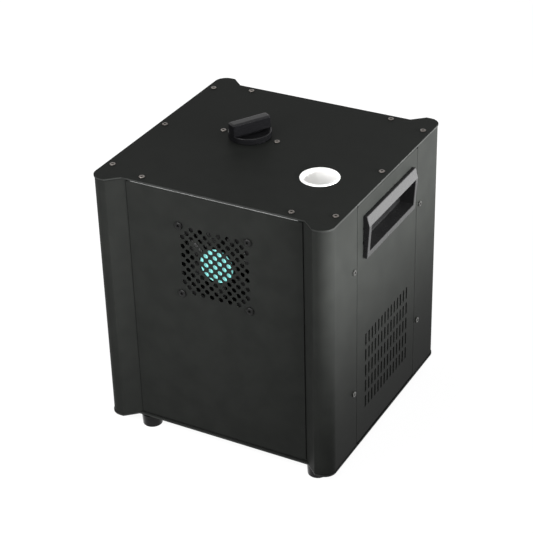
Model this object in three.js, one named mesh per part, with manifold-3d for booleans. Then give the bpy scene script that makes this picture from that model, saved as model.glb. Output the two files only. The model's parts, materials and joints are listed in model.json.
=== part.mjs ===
// Cold spark machine: a near-cubic powder-coated box with a fan grille, two pull handles,
// a granule hopper under a grip cap, a ceramic spark nozzle and a rear control panel.
// Millimetres, +Z up. The origin is on the floor under the middle of the box.
// -Y is the fan side, +Y the control side, +X and -X the handle sides.
import * as THREE from 'three';
import { mergeVertices } from 'three/addons/utils/BufferGeometryUtils.js';
import Module from 'manifold-3d';

const wasm = await Module();
wasm.setup();

// Box
const BODY = { side: 244, height: 263, plate: 2, plateOverhang: 0.5 };
const FIT = 0.3;
const OVERRUN = 1;
const MERGE_TOLERANCE = 0.0001;

// Feet
const FOOT = { height: 13, topRadius: 10.5, bottomRadius: 9.6, edge: 1.4, recessRadius: 4, recessDepth: 5 };
const FOOT_PLACES = { leftFromSide: 37.2, rightFromSide: 23.5, fromEnd: 20.5 };

// Corner posts, one bent section each
const POST = {
  cornerRadius: 12,
  faceWidth: 16.4,
  flankRun: 12.2,
  flankDepth: 11,
  sideLengthShare: 0.2295,
  lipLength: 12,
  wall: 2,
  bossRadius: 3.6,
  webWidth: 2.4,
};

// Sheet panels between the posts
const PANEL = { thickness: 1.2, inset: 1.1, flange: 14, bend: 1.5, relief: 3, gap: 0.5 };
const SIDE = { thickness: 1.5, flange: 12, bend: 1.8, lap: 15, lapShort: 3 };

// Side slots
const SLOT = { pitchAcrossShare: 0.02893, pitchUp: 17.38, width: 2.9, length: 13.8, top: 117.6 };
const SLOT_COLUMNS = 14;
const SLOT_ROWS = 5;

// Fan grille: a checkerboard of round holes, its corner cells left out
const GRILLE = { cell: 4.75, holeRadius: 2.5, centreShare: 0.724 };
const GRILLE_CELLS = 15;

// Axial fan behind the grille
const FAN = {
  size: 80,
  cornerRadius: 5,
  depth: 25,
  flange: 4,
  ductShare: 0.495,
  boreShare: 0.4775,
  screwSpacingShare: 0.89375,
  hubShare: 0.23125,
  hubDepth: 3,
  hubRecess: 2,
  strutWidth: 4,
  rotorHubShare: 0.21875,
  rotorDepth: 18,
  bladeTipShare: 0.465,
  bladeRootShare: 0.1875,
  bladeChordShare: 0.275,
  bladeCamber: 3,
  bladeThickness: 1.4,
  labelShare: 0.2125,
  labelThickness: 0.4,
  shaftRadius: 1.7,
  shaftLength: 2.3,
};
const FAN_BLADES = 7;
const FAN_STRUTS = 4;
const BLADE_PITCH = THREE.MathUtils.degToRad(38);

// Screws
const PAN_SCREW = {
  headRadius: 3.8,
  headHeight: 2.2,
  crown: 0.8,
  shankRadius: 1.8,
  length: 8,
  socketRadius: 1.5,
  socketDepth: 1.2,
};
const TOP_SCREW = {
  headRadius: 2.8,
  headHeight: 1,
  crown: 0.4,
  shankRadius: 1.4,
  length: 11,
  socketRadius: 1.3,
  socketDepth: 0.7,
};
const SCREW_CLEARANCE = 0.35;
const CORNER_SCREW = { fromSide: 7.7, fromEnd: 28.7 };

// Pull handles
const HANDLE = {
  widthShare: 0.4344,
  topDown: 18,
  ridgeDown: 28.3,
  bottomDown: 61,
  topProud: 3.7,
  ridgeProud: 6.3,
  bottomProud: 4,
  sideBand: 5,
  lowBand: 6,
  lip: 1.9,
  wall: 2,
  pocketDepth: 10,
  pocketTopDown: 23,
};

// Hopper, its cap and seal
const HOPPER = {
  xShare: -0.116,
  yShare: 0.05246,
  neckRadius: 18,
  wall: 2,
  neckProud: 1,
  flangeRadius: 36,
  flangeThickness: 3,
  bowlRadius: 32,
  bowlRim: 2,
  coneHeight: 38,
  spoutRadius: 9,
  spoutLength: 16,
};
const CAP = {
  radius: 20.6,
  skirtWall: 2.2,
  skirtGap: 0.5,
  ceiling: 2.6,
  rim: 6.4,
  rimWidth: 1.8,
  rimEdge: 0.7,
  floor: 4,
  barTop: 18.1,
  barThickness: 10,
  barEdge: 1.7,
  plugRadius: 15.4,
  plugDepth: 9,
  plugWall: 2,
};
const CAP_BAR_TURN = THREE.MathUtils.degToRad(59);
const SEAL = { inner: 16.2, outer: 18, thickness: 1 };

// Nozzle column
const NOZZLE = {
  xShare: 0.2828,
  yShare: -0.1385,
  outerRadius: 18.4,
  innerRadius: 16.1,
  proud: 0.5,
  edge: 0.5,
};
const COLLAR = { radius: 29, height: 6 };
const CORE = { outerRadius: 16, innerRadius: 11, length: 89.4, flangeRadius: 18.4, flangeHeight: 4 };
const SLEEVE = { thickness: 3, length: 36 };
const COIL = { wireRadius: 2.2, pitch: 6.2 };
const COIL_TURNS = 5;
const COIL_STEPS_PER_TURN = 12;
const COIL_SIDES = 6;

// Granule feed from the hopper spout to the core
const FEED = {
  axisRise: 29.7,
  spoutRise: 25.7,
  outerRadius: 12,
  innerRadius: 10,
  pastSpout: 20,
  endWall: 3,
  endRadius: 17,
  inletWall: 2,
  spoutCover: 6,
  shaftRadius: 3,
  augerRadius: 9.4,
  augerCoreRadius: 3.8,
  augerRib: 1,
  augerFromCore: 4,
  augerPitch: 18,
  shaftReach: 9,
  motorRadius: 17,
  motorLengthShare: 0.1885,
  motorCapRadius: 13,
  motorCapLength: 8,
};
const AUGER_STEPS_PER_TURN = 8;
const BRACKET = { fromColumnShare: 0.6735, width: 18, thickness: 3, footLength: 12, cradleDepth: 7 };

// Blower under the core
const BLOWER = {
  width: 34,
  wall: 2,
  radius: 40,
  outletWidth: 34,
  outletRise: 12,
  topWall: 3,
  footHeight: 3,
  footLength: 44,
  inletRadius: 17,
  impellerRadius: 27,
  impellerWidth: 22,
  impellerShift: 5,
  bladeDepth: 8,
  bladeInset: 1,
  bladeThickness: 1.6,
  discThickness: 2,
  discGap: 0.8,
  hubRadius: 7,
  hubLength: 11,
  shaftRadius: 3,
  shaftReach: 9,
  motorRadius: 20,
  motorLength: 28,
};
const BLOWER_BLADES = 12;

// Electronics
const SUPPLY = {
  xShare: -0.2459,
  yShare: -0.0082,
  widthShare: 0.377,
  depthShare: 0.6148,
  height: 42,
  slotWidth: 3,
  slotLengthShare: 0.652,
  slotPitchShare: 0.08,
  slotDepth: 1.5,
};
const SUPPLY_SLOTS = 9;
const DRIVER = {
  xShare: 0.082,
  yShare: 0.2295,
  widthShare: 0.2295,
  depthShare: 0.2459,
  base: 6,
  finHeight: 26,
  finThickness: 2.5,
};
const DRIVER_FINS = 7;
const BOARD = {
  width: 96,
  height: 62,
  thickness: 1.6,
  behindPanel: 8,
  studRadius: 3,
  studInset: 6,
  centreShare: 0.7909,
};

// Control panel
const DISPLAY = {
  width: 60,
  height: 28,
  corner: 3,
  rim: 3,
  proud: 1.6,
  depth: 4,
  windowInset: 4,
  lensRecess: 0.6,
  centreShare: 0.8441,
};
const BUTTON = {
  radius: 5,
  travel: 1.5,
  proud: 3.4,
  dome: 1,
  stemRadius: 3,
  collar: 1.2,
  collarRadius: 6.2,
  pitch: 17,
  centreShare: 0.7376,
};
const BUTTON_NAMES = ['menu', 'down', 'up', 'enter'];
const SIGNAL = {
  width: 26,
  height: 31,
  corner: 3,
  flange: 2,
  bodyRadius: 11.5,
  depth: 20,
  cupRadius: 9.6,
  cupDepth: 14,
  insertRadius: 7.4,
  insertRecess: 1,
  pinRadius: 1.2,
  pinCircle: 3.8,
  pinLength: 11,
  holeDepth: 8,
  fromMiddleShare: 0.1475,
  centreShare: 0.5627,
  latchWidth: 8,
  latchHeight: 3,
  latchProud: 1.4,
  latchTravel: 1,
  latchUp: 12.6,
};
const PIN_COUNT = 3;
const MAINS = {
  width: 50,
  height: 28,
  corner: 3,
  flange: 2.5,
  bodyWidth: 30,
  bodyHeight: 22,
  depth: 24,
  mouthWidth: 25,
  mouthHeight: 17,
  mouthDepth: 15,
  mouthCut: 4,
  pinWidth: 2,
  pinHeight: 4.4,
  pinLength: 12,
  pinPitch: 7,
  pinLift: 2,
  outletRecess: 2,
  outletMargin: 2.5,
  holeDepth: 10,
  fromMiddleShare: 0.205,
  centreShare: 0.2662,
};
const FUSE = {
  flangeRadius: 9,
  flange: 1.8,
  bodyRadius: 6.6,
  depth: 22,
  capRadius: 6.4,
  capLength: 6,
  capEdge: 0.8,
  stemRadius: 4,
  stemLength: 10,
  boreRadius: 4.4,
  boreDepth: 13,
  slotWidth: 1.4,
  slotDepth: 1.5,
  centreShare: 0.3954,
};
const SWITCH = {
  width: 21,
  height: 28,
  corner: 1.5,
  proud: 1.8,
  bodyWidth: 18.6,
  bodyHeight: 25.4,
  depth: 16,
  cavityWidth: 15.6,
  cavityHeight: 22.2,
  cavityDepth: 11,
  rockerWidth: 14.8,
  rockerHeight: 20.4,
  rockerBack: 3,
  rockerFront: 3,
  rockerTip: 4.6,
  pinRadius: 1,
  pinLength: 0.8,
  centreShare: 0.2662,
};
const ROCKER_TILT = THREE.MathUtils.degToRad(9);

// Facets
const ARC = 5;
const SLOT_ARC = 2;
const GRILLE_SIDES = 6;
const ROUND = 24;
const SMALL_ROUND = 12;
const HOLE_SIDES = 8;
const HEX = 6;

// Levels and faces that the pieces share
const baseTop = FOOT.height + BODY.plate;
const plateTop = FOOT.height + BODY.height;
const plateUnder = plateTop - BODY.plate;
const postFace = BODY.side / 2 - BODY.plateOverhang;
const panelFace = postFace - POST.flankDepth - PANEL.inset;
const panelBack = panelFace - PANEL.thickness;
const fanFront = panelBack - FIT;

function level(share) {
  return FOOT.height + share * BODY.height;
}

function across(share) {
  return share * BODY.side;
}

const fanHeight = level(GRILLE.centreShare);

// Places of the hopper and of the spark column, whose heights build up from the base
const hopperX = across(HOPPER.xShare);
const hopperY = across(HOPPER.yShare);
const nozzleX = across(NOZZLE.xShare);
const nozzleY = across(NOZZLE.yShare);
const blowerZ = baseTop + BLOWER.footHeight + BLOWER.radius;
const housingTop = BLOWER.radius + BLOWER.outletRise;
const coreBottom = blowerZ + housingTop + FIT;
const nozzleBottom = coreBottom + CORE.length + FIT;
const feedAxis = coreBottom + FEED.axisRise;

function paint(color, roughness, metalness) {
  return new THREE.MeshStandardMaterial({ color, roughness, metalness });
}

const COATS = {
  powderCoat: paint(0x2b2c2b, 0.55, 0.2),
  plastic: paint(0x1c1c1d, 0.45, 0),
  gloss: paint(0x161617, 0.25, 0),
  rubber: paint(0x222222, 0.8, 0),
  ceramic: paint(0xe9e7e2, 0.55, 0),
  steel: paint(0x8c8781, 0.35, 0.9),
  blackSteel: paint(0x232323, 0.4, 0.8),
  copper: paint(0xb06a3c, 0.35, 0.95),
  aluminium: paint(0xa9adb0, 0.4, 0.9),
  teal: paint(0x2fb6b4, 0.5, 0),
  board: paint(0x1f5a3a, 0.5, 0.1),
  lens: paint(0x14181a, 0.1, 0),
};

const machine = new THREE.Group();

// A face group's own axes: X across the face, Y up from the floor, Z out of the box
function faceGroup(turn) {
  const turned = new THREE.Group();
  turned.rotation.z = turn;
  machine.add(turned);
  const upright = new THREE.Group();
  upright.rotation.x = Math.PI / 2;
  turned.add(upright);
  return upright;
}

const fanSide = faceGroup(0);
const controlSide = faceGroup(Math.PI);
const rightSide = faceGroup(Math.PI / 2);
const leftSide = faceGroup(-Math.PI / 2);

function place(name, geometry, coat, [x, y, z], parent = machine) {
  const mesh = new THREE.Mesh(geometry, coat.clone());
  mesh.name = name;
  mesh.position.set(x, y, z);
  parent.add(mesh);
  return mesh;
}

// Solids from three.js geometry, and back
function solid(geometry) {
  const bare = geometry.clone();
  bare.deleteAttribute('normal');
  bare.deleteAttribute('uv');
  const merged = mergeVertices(bare, MERGE_TOLERANCE);
  return new wasm.Manifold(new wasm.Mesh({
    numProp: 3,
    vertProperties: new Float32Array(merged.attributes.position.array),
    triVerts: new Uint32Array(merged.index.array),
  }));
}

function geometryOf(body) {
  const mesh = body.getMesh();
  const geometry = new THREE.BufferGeometry();
  geometry.setAttribute('position', new THREE.BufferAttribute(new Float32Array(mesh.vertProperties), 3));
  geometry.setIndex(new THREE.BufferAttribute(new Uint32Array(mesh.triVerts), 1));
  return geometry;
}

function joined(adds) {
  return adds.map(solid).reduce((whole, next) => whole.add(next));
}

function drilled(body, cuts) {
  return cuts.reduce((rest, cut) => rest.subtract(solid(cut)), body);
}

function carve(adds, cuts = []) {
  return geometryOf(drilled(joined(adds), cuts));
}

// Sections and simple forms
function vectors(list) {
  return list.map(([x, y]) => new THREE.Vector2(x, y));
}

function extrude(shape, depth) {
  return new THREE.ExtrudeGeometry(shape, { depth, bevelEnabled: false, curveSegments: ARC });
}

function prism(list, depth) {
  return extrude(new THREE.Shape(vectors(list)), depth);
}

// A section of (out, up) points swept across a face, centred on X = 0
function sweptAcross(list, length) {
  return prism(list, length).rotateY(-Math.PI / 2).translate(length / 2, 0, 0);
}

// A section of (across, out) points swept up a face
function sweptUp(list, height) {
  return prism(list.map(([across, out]) => [across, -out]), height).rotateX(-Math.PI / 2);
}

function block(width, depth, height, [x, y, z]) {
  return new THREE.BoxGeometry(width, depth, height).translate(x, y, z + height / 2);
}

function revolve(profile, segments = ROUND) {
  return new THREE.LatheGeometry(vectors(profile), segments).rotateX(Math.PI / 2);
}

function drum(radius, height, segments = ROUND) {
  return revolve([[0, 0], [radius, 0], [radius, height], [0, height]], segments);
}

function ring(inner, outer, height) {
  return revolve([[inner, 0], [outer, 0], [outer, height], [inner, height], [inner, 0]]);
}

function roundedRectangle(width, height, radius) {
  const x = width / 2 - radius;
  const y = height / 2 - radius;
  const shape = new THREE.Shape();
  shape.absarc(x, y, radius, 0, Math.PI / 2);
  shape.absarc(-x, y, radius, Math.PI / 2, Math.PI);
  shape.absarc(-x, -y, radius, Math.PI, Math.PI * 1.5);
  shape.absarc(x, -y, radius, Math.PI * 1.5, Math.PI * 2);
  shape.closePath();
  return shape;
}

function arcPoints(cx, cy, radius, from, to, steps = ARC) {
  const list = [];
  for (let i = 0; i <= steps; i += 1) {
    const angle = from + ((to - from) * i) / steps;
    list.push([cx + radius * Math.cos(angle), cy + radius * Math.sin(angle)]);
  }
  return list;
}

function circlePoints(x, y, radius, sides) {
  const turn = Math.PI / sides;
  return arcPoints(x, y, radius, turn, turn + (2 * Math.PI * (sides - 1)) / sides, sides - 1);
}

function roundHole(x, y, radius, sides) {
  return new THREE.Path(vectors(circlePoints(x, y, radius, sides)));
}

function rectangleHole(x, y, width, height) {
  const halfX = width / 2;
  const halfY = height / 2;
  return new THREE.Path(vectors([
    [x - halfX, y - halfY],
    [x + halfX, y - halfY],
    [x + halfX, y + halfY],
    [x - halfX, y + halfY],
  ]));
}

function slotPoints(x, top) {
  const radius = SLOT.width / 2;
  const upper = arcPoints(x, top - radius, radius, 0, Math.PI, SLOT_ARC);
  const lower = arcPoints(x, top - SLOT.length + radius, radius, Math.PI, 2 * Math.PI, SLOT_ARC);
  return [...upper, ...lower];
}

// Quarter of an outline, from the middle of a handle side to the recessed face
function quarterOutline(face) {
  const faceEnd = face - POST.faceWidth;
  return [
    ...arcPoints(face - POST.cornerRadius, face - POST.cornerRadius, POST.cornerRadius, 0, Math.PI / 2),
    [faceEnd, face],
    [faceEnd - POST.flankRun, face - POST.flankDepth],
  ];
}

function plateOutline() {
  const quarter = quarterOutline(BODY.side / 2);
  const back = [...quarter].reverse();
  return [
    ...quarter,
    ...back.map(([x, y]) => [-x, y]),
    ...quarter.map(([x, y]) => [-x, -y]),
    ...back.map(([x, y]) => [x, -y]),
  ];
}

const cornerX = BODY.side / 2 - CORNER_SCREW.fromSide;
const cornerY = BODY.side / 2 - CORNER_SCREW.fromEnd;
const ENDS = [['front', -1], ['rear', 1]];
const HANDS = [['left', -1], ['right', 1]];

// Top and base plates
function topPlate() {
  const shape = new THREE.Shape(vectors(plateOutline()));
  const screwHole = TOP_SCREW.shankRadius + SCREW_CLEARANCE;
  for (const [, sy] of ENDS) {
    for (const [, sx] of HANDS) {
      shape.holes.push(roundHole(sx * cornerX, sy * cornerY, screwHole, HOLE_SIDES));
    }
  }
  shape.holes.push(roundHole(hopperX, hopperY, HOPPER.neckRadius + FIT, ROUND));
  shape.holes.push(roundHole(nozzleX, nozzleY, NOZZLE.outerRadius + FIT, ROUND));
  return extrude(shape, BODY.plate);
}

place('top_plate', topPlate(), COATS.powderCoat, [0, 0, plateUnder]);
place('base_plate', prism(plateOutline(), BODY.plate), COATS.powderCoat, [0, 0, FOOT.height]);

// Corner posts
function unit([x0, y0], [x1, y1]) {
  const length = Math.hypot(x1 - x0, y1 - y0);
  return [(x1 - x0) / length, (y1 - y0) / length];
}

function offsetPath(path, distance) {
  return path.map((point, i) => {
    const after = i < path.length - 1 ? unit(point, path[i + 1]) : unit(path[i - 1], point);
    const before = i > 0 ? unit(path[i - 1], point) : after;
    const normalX = -(before[1] + after[1]);
    const normalY = before[0] + after[0];
    const scale = (2 * distance) / (normalX * normalX + normalY * normalY);
    return [point[0] + normalX * scale, point[1] + normalY * scale];
  });
}

const lipFace = panelBack - FIT;
const flankEndX = postFace - POST.faceWidth - (POST.flankRun * (postFace - lipFace)) / POST.flankDepth;
const panelHalf = flankEndX + (POST.flankRun * FIT) / POST.flankDepth - FIT;
const foldHalf = panelHalf - PANEL.relief;
const notchHeight = PANEL.gap + PANEL.thickness;
const postSide = across(POST.sideLengthShare);

function cornerPost(sx, sy, height) {
  const outer = [
    [postFace, postFace - postSide],
    ...quarterOutline(postFace).slice(0, -1),
    [flankEndX, lipFace],
    [flankEndX - POST.lipLength, lipFace],
  ];
  const section = [...outer, ...offsetPath(outer, POST.wall).reverse()].map(([x, y]) => [sx * x, sy * y]);
  const boss = drum(POST.bossRadius, height, SMALL_ROUND).translate(sx * cornerX, sy * cornerY, 0);
  const webLength = postFace - POST.wall / 2 - cornerX;
  const web = block(webLength, POST.webWidth, height, [sx * (cornerX + webLength / 2), sy * cornerY, 0]);
  const bore = drum(TOP_SCREW.shankRadius + SCREW_CLEARANCE, TOP_SCREW.length + OVERRUN, HOLE_SIDES)
    .translate(sx * cornerX, sy * cornerY, height - TOP_SCREW.length);
  const notchLow = flankEndX - POST.lipLength - OVERRUN;
  const notchWidth = foldHalf + FIT - notchLow;
  const notchSize = [notchWidth, 2 * (POST.wall + OVERRUN), notchHeight + OVERRUN];
  const notchPlace = [sx * (notchLow + notchWidth / 2), sy * lipFace];
  const notches = [-OVERRUN, height - notchHeight].map((z) => block(...notchSize, [...notchPlace, z]));
  return carve([prism(section, height), boss, web], [bore, ...notches]);
}

const postHeight = plateUnder - baseTop - 2 * FIT;
for (const [end, sy] of ENDS) {
  for (const [hand, sx] of HANDS) {
    const post = cornerPost(sx, sy, postHeight);
    place(`corner_post_${end}_${hand}`, post, COATS.powderCoat, [0, 0, baseTop + FIT]);
  }
}

// Folded sheet in a face group's axes, its outer face at Z = 0
const sheetLow = baseTop + PANEL.gap;
const sheetHigh = plateUnder - PANEL.gap;

function sheetWall(halfWidth, thickness, bend, holes) {
  const low = sheetLow + bend;
  const high = sheetHigh - bend;
  const corners = [[-halfWidth, low], [halfWidth, low], [halfWidth, high], [-halfWidth, high]];
  const shape = new THREE.Shape(vectors(corners));
  shape.holes.push(...holes);
  return extrude(shape, thickness).translate(0, 0, -thickness);
}

function sheetFold(length, thickness, bend, flange, edge, inward) {
  const centre = edge + inward * bend;
  const quarter = -inward * (Math.PI / 2);
  const section = [
    [0, edge + inward * (bend + thickness)],
    ...arcPoints(-bend, centre, bend, 0, quarter),
    [-flange, edge],
    [-flange, edge + inward * thickness],
    ...arcPoints(-bend, centre, bend - thickness, quarter, 0),
    [-thickness, edge + inward * (bend + thickness)],
  ];
  return sweptAcross(section, length);
}

// Recessed panels on the fan and control sides
function recessedPanel(holes, extras = []) {
  const foldLength = 2 * foldHalf;
  const wall = sheetWall(panelHalf, PANEL.thickness, PANEL.bend, holes);
  const top = sheetFold(foldLength, PANEL.thickness, PANEL.bend, PANEL.flange, sheetHigh, -1);
  const bottom = sheetFold(foldLength, PANEL.thickness, PANEL.bend, PANEL.flange, sheetLow, 1);
  return carve([wall, top, bottom, ...extras]);
}

function grilleHoles() {
  const holes = [];
  const last = GRILLE_CELLS - 1;
  for (let i = 0; i <= last; i += 1) {
    for (let j = 0; j <= last; j += 1) {
      const atCorner = (i === 0 || i === last) && (j === 0 || j === last);
      if ((i + j) % 2 === 0 && !atCorner) {
        const x = (i - last / 2) * GRILLE.cell;
        const y = fanHeight + (j - last / 2) * GRILLE.cell;
        holes.push(roundHole(x, y, GRILLE.holeRadius, GRILLE_SIDES));
      }
    }
  }
  return holes;
}

function fourCorners(halfX, halfY) {
  return [[-halfX, -halfY], [halfX, -halfY], [halfX, halfY], [-halfX, halfY]];
}

const ductRadius = FAN.ductShare * FAN.size;
const bladeTip = FAN.bladeTipShare * FAN.size;
const bladeRoot = FAN.bladeRootShare * FAN.size;
const fanScrewHalf = (FAN.screwSpacingShare * FAN.size) / 2;
const fanScrewPlaces = fourCorners(fanScrewHalf, fanScrewHalf);
const fanHoleRadius = PAN_SCREW.shankRadius + SCREW_CLEARANCE;
const fanPanelHoles = grilleHoles();
for (const [x, y] of fanScrewPlaces) {
  fanPanelHoles.push(roundHole(x, fanHeight + y, fanHoleRadius, HOLE_SIDES));
}
place('fan_panel', recessedPanel(fanPanelHoles), COATS.powderCoat, [0, 0, panelFace], fanSide);

// Fan frame, rotor, label and screws; Z = 0 is the frame's front
function spokes(count, length, width, depth, z) {
  const list = [];
  for (let i = 0; i < count; i += 1) {
    const angle = ((2 * i + 1) * Math.PI) / count;
    list.push(block(length, width, depth, [length / 2, 0, z]).rotateZ(angle));
  }
  return list;
}

function fanFrame() {
  const flangeShape = roundedRectangle(FAN.size, FAN.size, FAN.cornerRadius);
  const frontFlange = extrude(flangeShape, FAN.flange).translate(0, 0, -FAN.flange);
  const backFlange = extrude(flangeShape, FAN.flange).translate(0, 0, -FAN.depth);
  const duct = drum(ductRadius, FAN.depth).translate(0, 0, -FAN.depth);
  const through = FAN.depth + 2 * OVERRUN;
  const bore = drum(FAN.boreShare * FAN.size, through).translate(0, 0, -FAN.depth - OVERRUN);
  const holes = fanScrewPlaces.map(([x, y]) => drum(fanHoleRadius, through, HOLE_SIDES)
    .translate(x, y, -FAN.depth - OVERRUN));
  const shell = drilled(joined([frontFlange, backFlange, duct]), [bore, ...holes]);
  const hubBack = -FAN.hubRecess - FAN.hubDepth;
  const hub = drum(FAN.hubShare * FAN.size, FAN.hubDepth).translate(0, 0, hubBack);
  const struts = spokes(FAN_STRUTS, ductRadius - OVERRUN, FAN.strutWidth, FAN.hubDepth, hubBack);
  const bearing = drum(FAN.shaftRadius + FIT, FAN.shaftLength + FIT + OVERRUN, SMALL_ROUND)
    .translate(0, 0, hubBack - OVERRUN);
  return geometryOf(drilled(shell.add(joined([hub, ...struts])), [bearing]));
}

function fanRotor() {
  const bladeDepth = FAN.rotorDepth - 2 * OVERRUN;
  const half = (FAN.bladeChordShare * FAN.size) / 2;
  const rise = FAN.bladeCamber;
  const thick = FAN.bladeThickness;
  const section = [[-half, 0], [0, rise], [half, 0], [half, thick], [0, rise + thick], [-half, thick]];
  const limit = drum(bladeTip, bladeDepth).translate(0, 0, OVERRUN - FAN.rotorDepth);
  let rotor = joined([
    drum(FAN.rotorHubShare * FAN.size, FAN.rotorDepth).translate(0, 0, -FAN.rotorDepth),
    drum(FAN.shaftRadius, FAN.shaftLength + OVERRUN, SMALL_ROUND).translate(0, 0, FIT - OVERRUN),
  ]);
  for (let i = 0; i < FAN_BLADES; i += 1) {
    const blade = prism(section, bladeTip - bladeRoot + OVERRUN)
      .rotateZ(BLADE_PITCH)
      .translate(0, 0, bladeRoot)
      .rotateY(Math.PI / 2)
      .translate(0, 0, -FAN.rotorDepth / 2)
      .rotateZ((i * 2 * Math.PI) / FAN_BLADES);
    rotor = rotor.add(solid(blade).intersect(solid(limit)));
  }
  return geometryOf(rotor);
}

function screw(size) {
  const head = revolve([
    [0, 0],
    [size.headRadius, 0],
    [size.headRadius, size.headHeight - size.crown],
    [size.headRadius - size.crown, size.headHeight],
    [0, size.headHeight],
  ], SMALL_ROUND);
  const rooted = size.socketDepth / 2;
  const shank = drum(size.shankRadius, size.length + rooted, HOLE_SIDES).translate(0, 0, -size.length);
  const socket = drum(size.socketRadius, size.socketDepth + OVERRUN, HEX)
    .translate(0, 0, size.headHeight - size.socketDepth);
  return carve([head, shank], [socket]);
}

const rotorFront = -FAN.hubRecess - FAN.hubDepth - FIT;
place('fan_frame', fanFrame(), COATS.plastic, [0, fanHeight, fanFront], fanSide);
place('fan_rotor', fanRotor(), COATS.plastic, [0, fanHeight, fanFront + rotorFront], fanSide);
place('fan_label', drum(FAN.labelShare * FAN.size, FAN.labelThickness), COATS.teal, [
  0,
  fanHeight,
  fanFront - FAN.hubRecess,
], fanSide);
fanScrewPlaces.forEach(([x, y], i) => {
  place(`fan_screw_${i + 1}`, screw(PAN_SCREW), COATS.blackSteel, [x, fanHeight + y, panelFace], fanSide);
});

// Corner screws of the top plate
for (const [end, sy] of ENDS) {
  for (const [hand, sx] of HANDS) {
    place(`top_screw_${end}_${hand}`, screw(TOP_SCREW), COATS.steel, [sx * cornerX, sy * cornerY, plateTop]);
  }
}

// Side panels with slots, laps behind the posts and the handle opening
const seamHalf = postFace - postSide - FIT;
const handleWidth = across(HANDLE.widthShare);
const pocketHalf = handleWidth / 2 - HANDLE.sideBand;
const cupHalf = pocketHalf + HANDLE.wall;
const pocketLow = plateTop - HANDLE.bottomDown + HANDLE.lowBand;
const pocketHigh = plateTop - HANDLE.pocketTopDown;
const cupLow = pocketLow - HANDLE.wall;
const cupHigh = pocketHigh + HANDLE.wall;

function sidePanel() {
  const through = SIDE.thickness + 2 * OVERRUN;
  const cupRoom = [2 * (cupHalf + FIT), cupHigh - cupLow + 2 * FIT, through];
  const cuts = [block(...cupRoom, [0, (cupLow + cupHigh) / 2, -SIDE.thickness - OVERRUN])];
  const slotPitch = across(SLOT.pitchAcrossShare);
  for (let row = 0; row < SLOT_ROWS; row += 1) {
    for (let column = 0; column < SLOT_COLUMNS; column += 1) {
      const x = (column - (SLOT_COLUMNS - 1) / 2) * slotPitch;
      const top = FOOT.height + SLOT.top - row * SLOT.pitchUp;
      cuts.push(prism(slotPoints(x, top), through).translate(0, 0, -SIDE.thickness - OVERRUN));
    }
  }
  const lapHeight = sheetHigh - sheetLow - 2 * (SIDE.bend + SIDE.lapShort);
  const lapFace = -POST.wall - FIT;
  const lapBack = lapFace - SIDE.thickness;
  const stepIn = seamHalf - SIDE.thickness;
  const lapEnd = seamHalf + SIDE.lap;
  const rooted = -SIDE.thickness / 2;
  const laps = [-1, 1].map((s) => sweptUp([
    [s * stepIn, rooted],
    [s * stepIn, lapBack],
    [s * lapEnd, lapBack],
    [s * lapEnd, lapFace],
    [s * seamHalf, lapFace],
    [s * seamHalf, rooted],
  ], lapHeight).translate(0, sheetLow + SIDE.bend + SIDE.lapShort, 0));
  const foldLength = 2 * (stepIn - FIT);
  return carve([
    sheetWall(seamHalf, SIDE.thickness, SIDE.bend, []),
    sheetFold(foldLength, SIDE.thickness, SIDE.bend, SIDE.flange, sheetHigh, -1),
    sheetFold(foldLength, SIDE.thickness, SIDE.bend, SIDE.flange, sheetLow, 1),
    ...laps,
  ], cuts);
}

// Handle cup: a hooded bezel outside and a pocket behind the panel, Z = 0 on the panel's face
function handleCup() {
  const top = plateTop - HANDLE.topDown;
  const ridge = plateTop - HANDLE.ridgeDown;
  const bottom = plateTop - HANDLE.bottomDown;
  const bezel = sweptAcross([
    [0, bottom],
    [HANDLE.bottomProud, bottom],
    [HANDLE.ridgeProud, ridge],
    [HANDLE.topProud, top],
    [0, top],
  ], handleWidth);
  const depth = HANDLE.pocketDepth + HANDLE.wall;
  const cupSize = [2 * cupHalf, cupHigh - cupLow, depth + HANDLE.topProud / 2];
  const cup = block(...cupSize, [0, (cupLow + cupHigh) / 2, -depth]);
  const lipIn = HANDLE.ridgeProud - HANDLE.lip;
  const slope = (HANDLE.ridgeProud - HANDLE.topProud) / (top - ridge);
  const cavity = sweptAcross([
    [-HANDLE.pocketDepth, pocketLow],
    [HANDLE.ridgeProud + OVERRUN, pocketLow],
    [HANDLE.ridgeProud + OVERRUN, ridge],
    [lipIn, ridge],
    [lipIn - slope * (pocketHigh - ridge), pocketHigh],
    [-HANDLE.pocketDepth, pocketHigh],
  ], 2 * pocketHalf);
  return carve([bezel, cup], [cavity]);
}

for (const [hand, side] of [['right', rightSide], ['left', leftSide]]) {
  place(`side_panel_${hand}`, sidePanel(), COATS.powderCoat, [0, 0, postFace], side);
  place(`handle_cup_${hand}`, handleCup(), COATS.plastic, [0, 0, postFace], side);
}

// Feet
function foot() {
  return revolve([
    [0, FOOT.recessDepth],
    [FOOT.recessRadius, FOOT.recessDepth],
    [FOOT.recessRadius, 0],
    [FOOT.bottomRadius - FOOT.edge, 0],
    [FOOT.bottomRadius, FOOT.edge],
    [FOOT.topRadius, FOOT.height],
    [0, FOOT.height],
  ]);
}

const footPlaces = [
  ['left', FOOT_PLACES.leftFromSide - BODY.side / 2],
  ['right', BODY.side / 2 - FOOT_PLACES.rightFromSide],
];
const footY = BODY.side / 2 - FOOT_PLACES.fromEnd;
for (const [end, sy] of ENDS) {
  for (const [hand, x] of footPlaces) {
    place(`foot_${end}_${hand}`, foot(), COATS.rubber, [x, sy * footY, 0]);
  }
}

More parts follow.
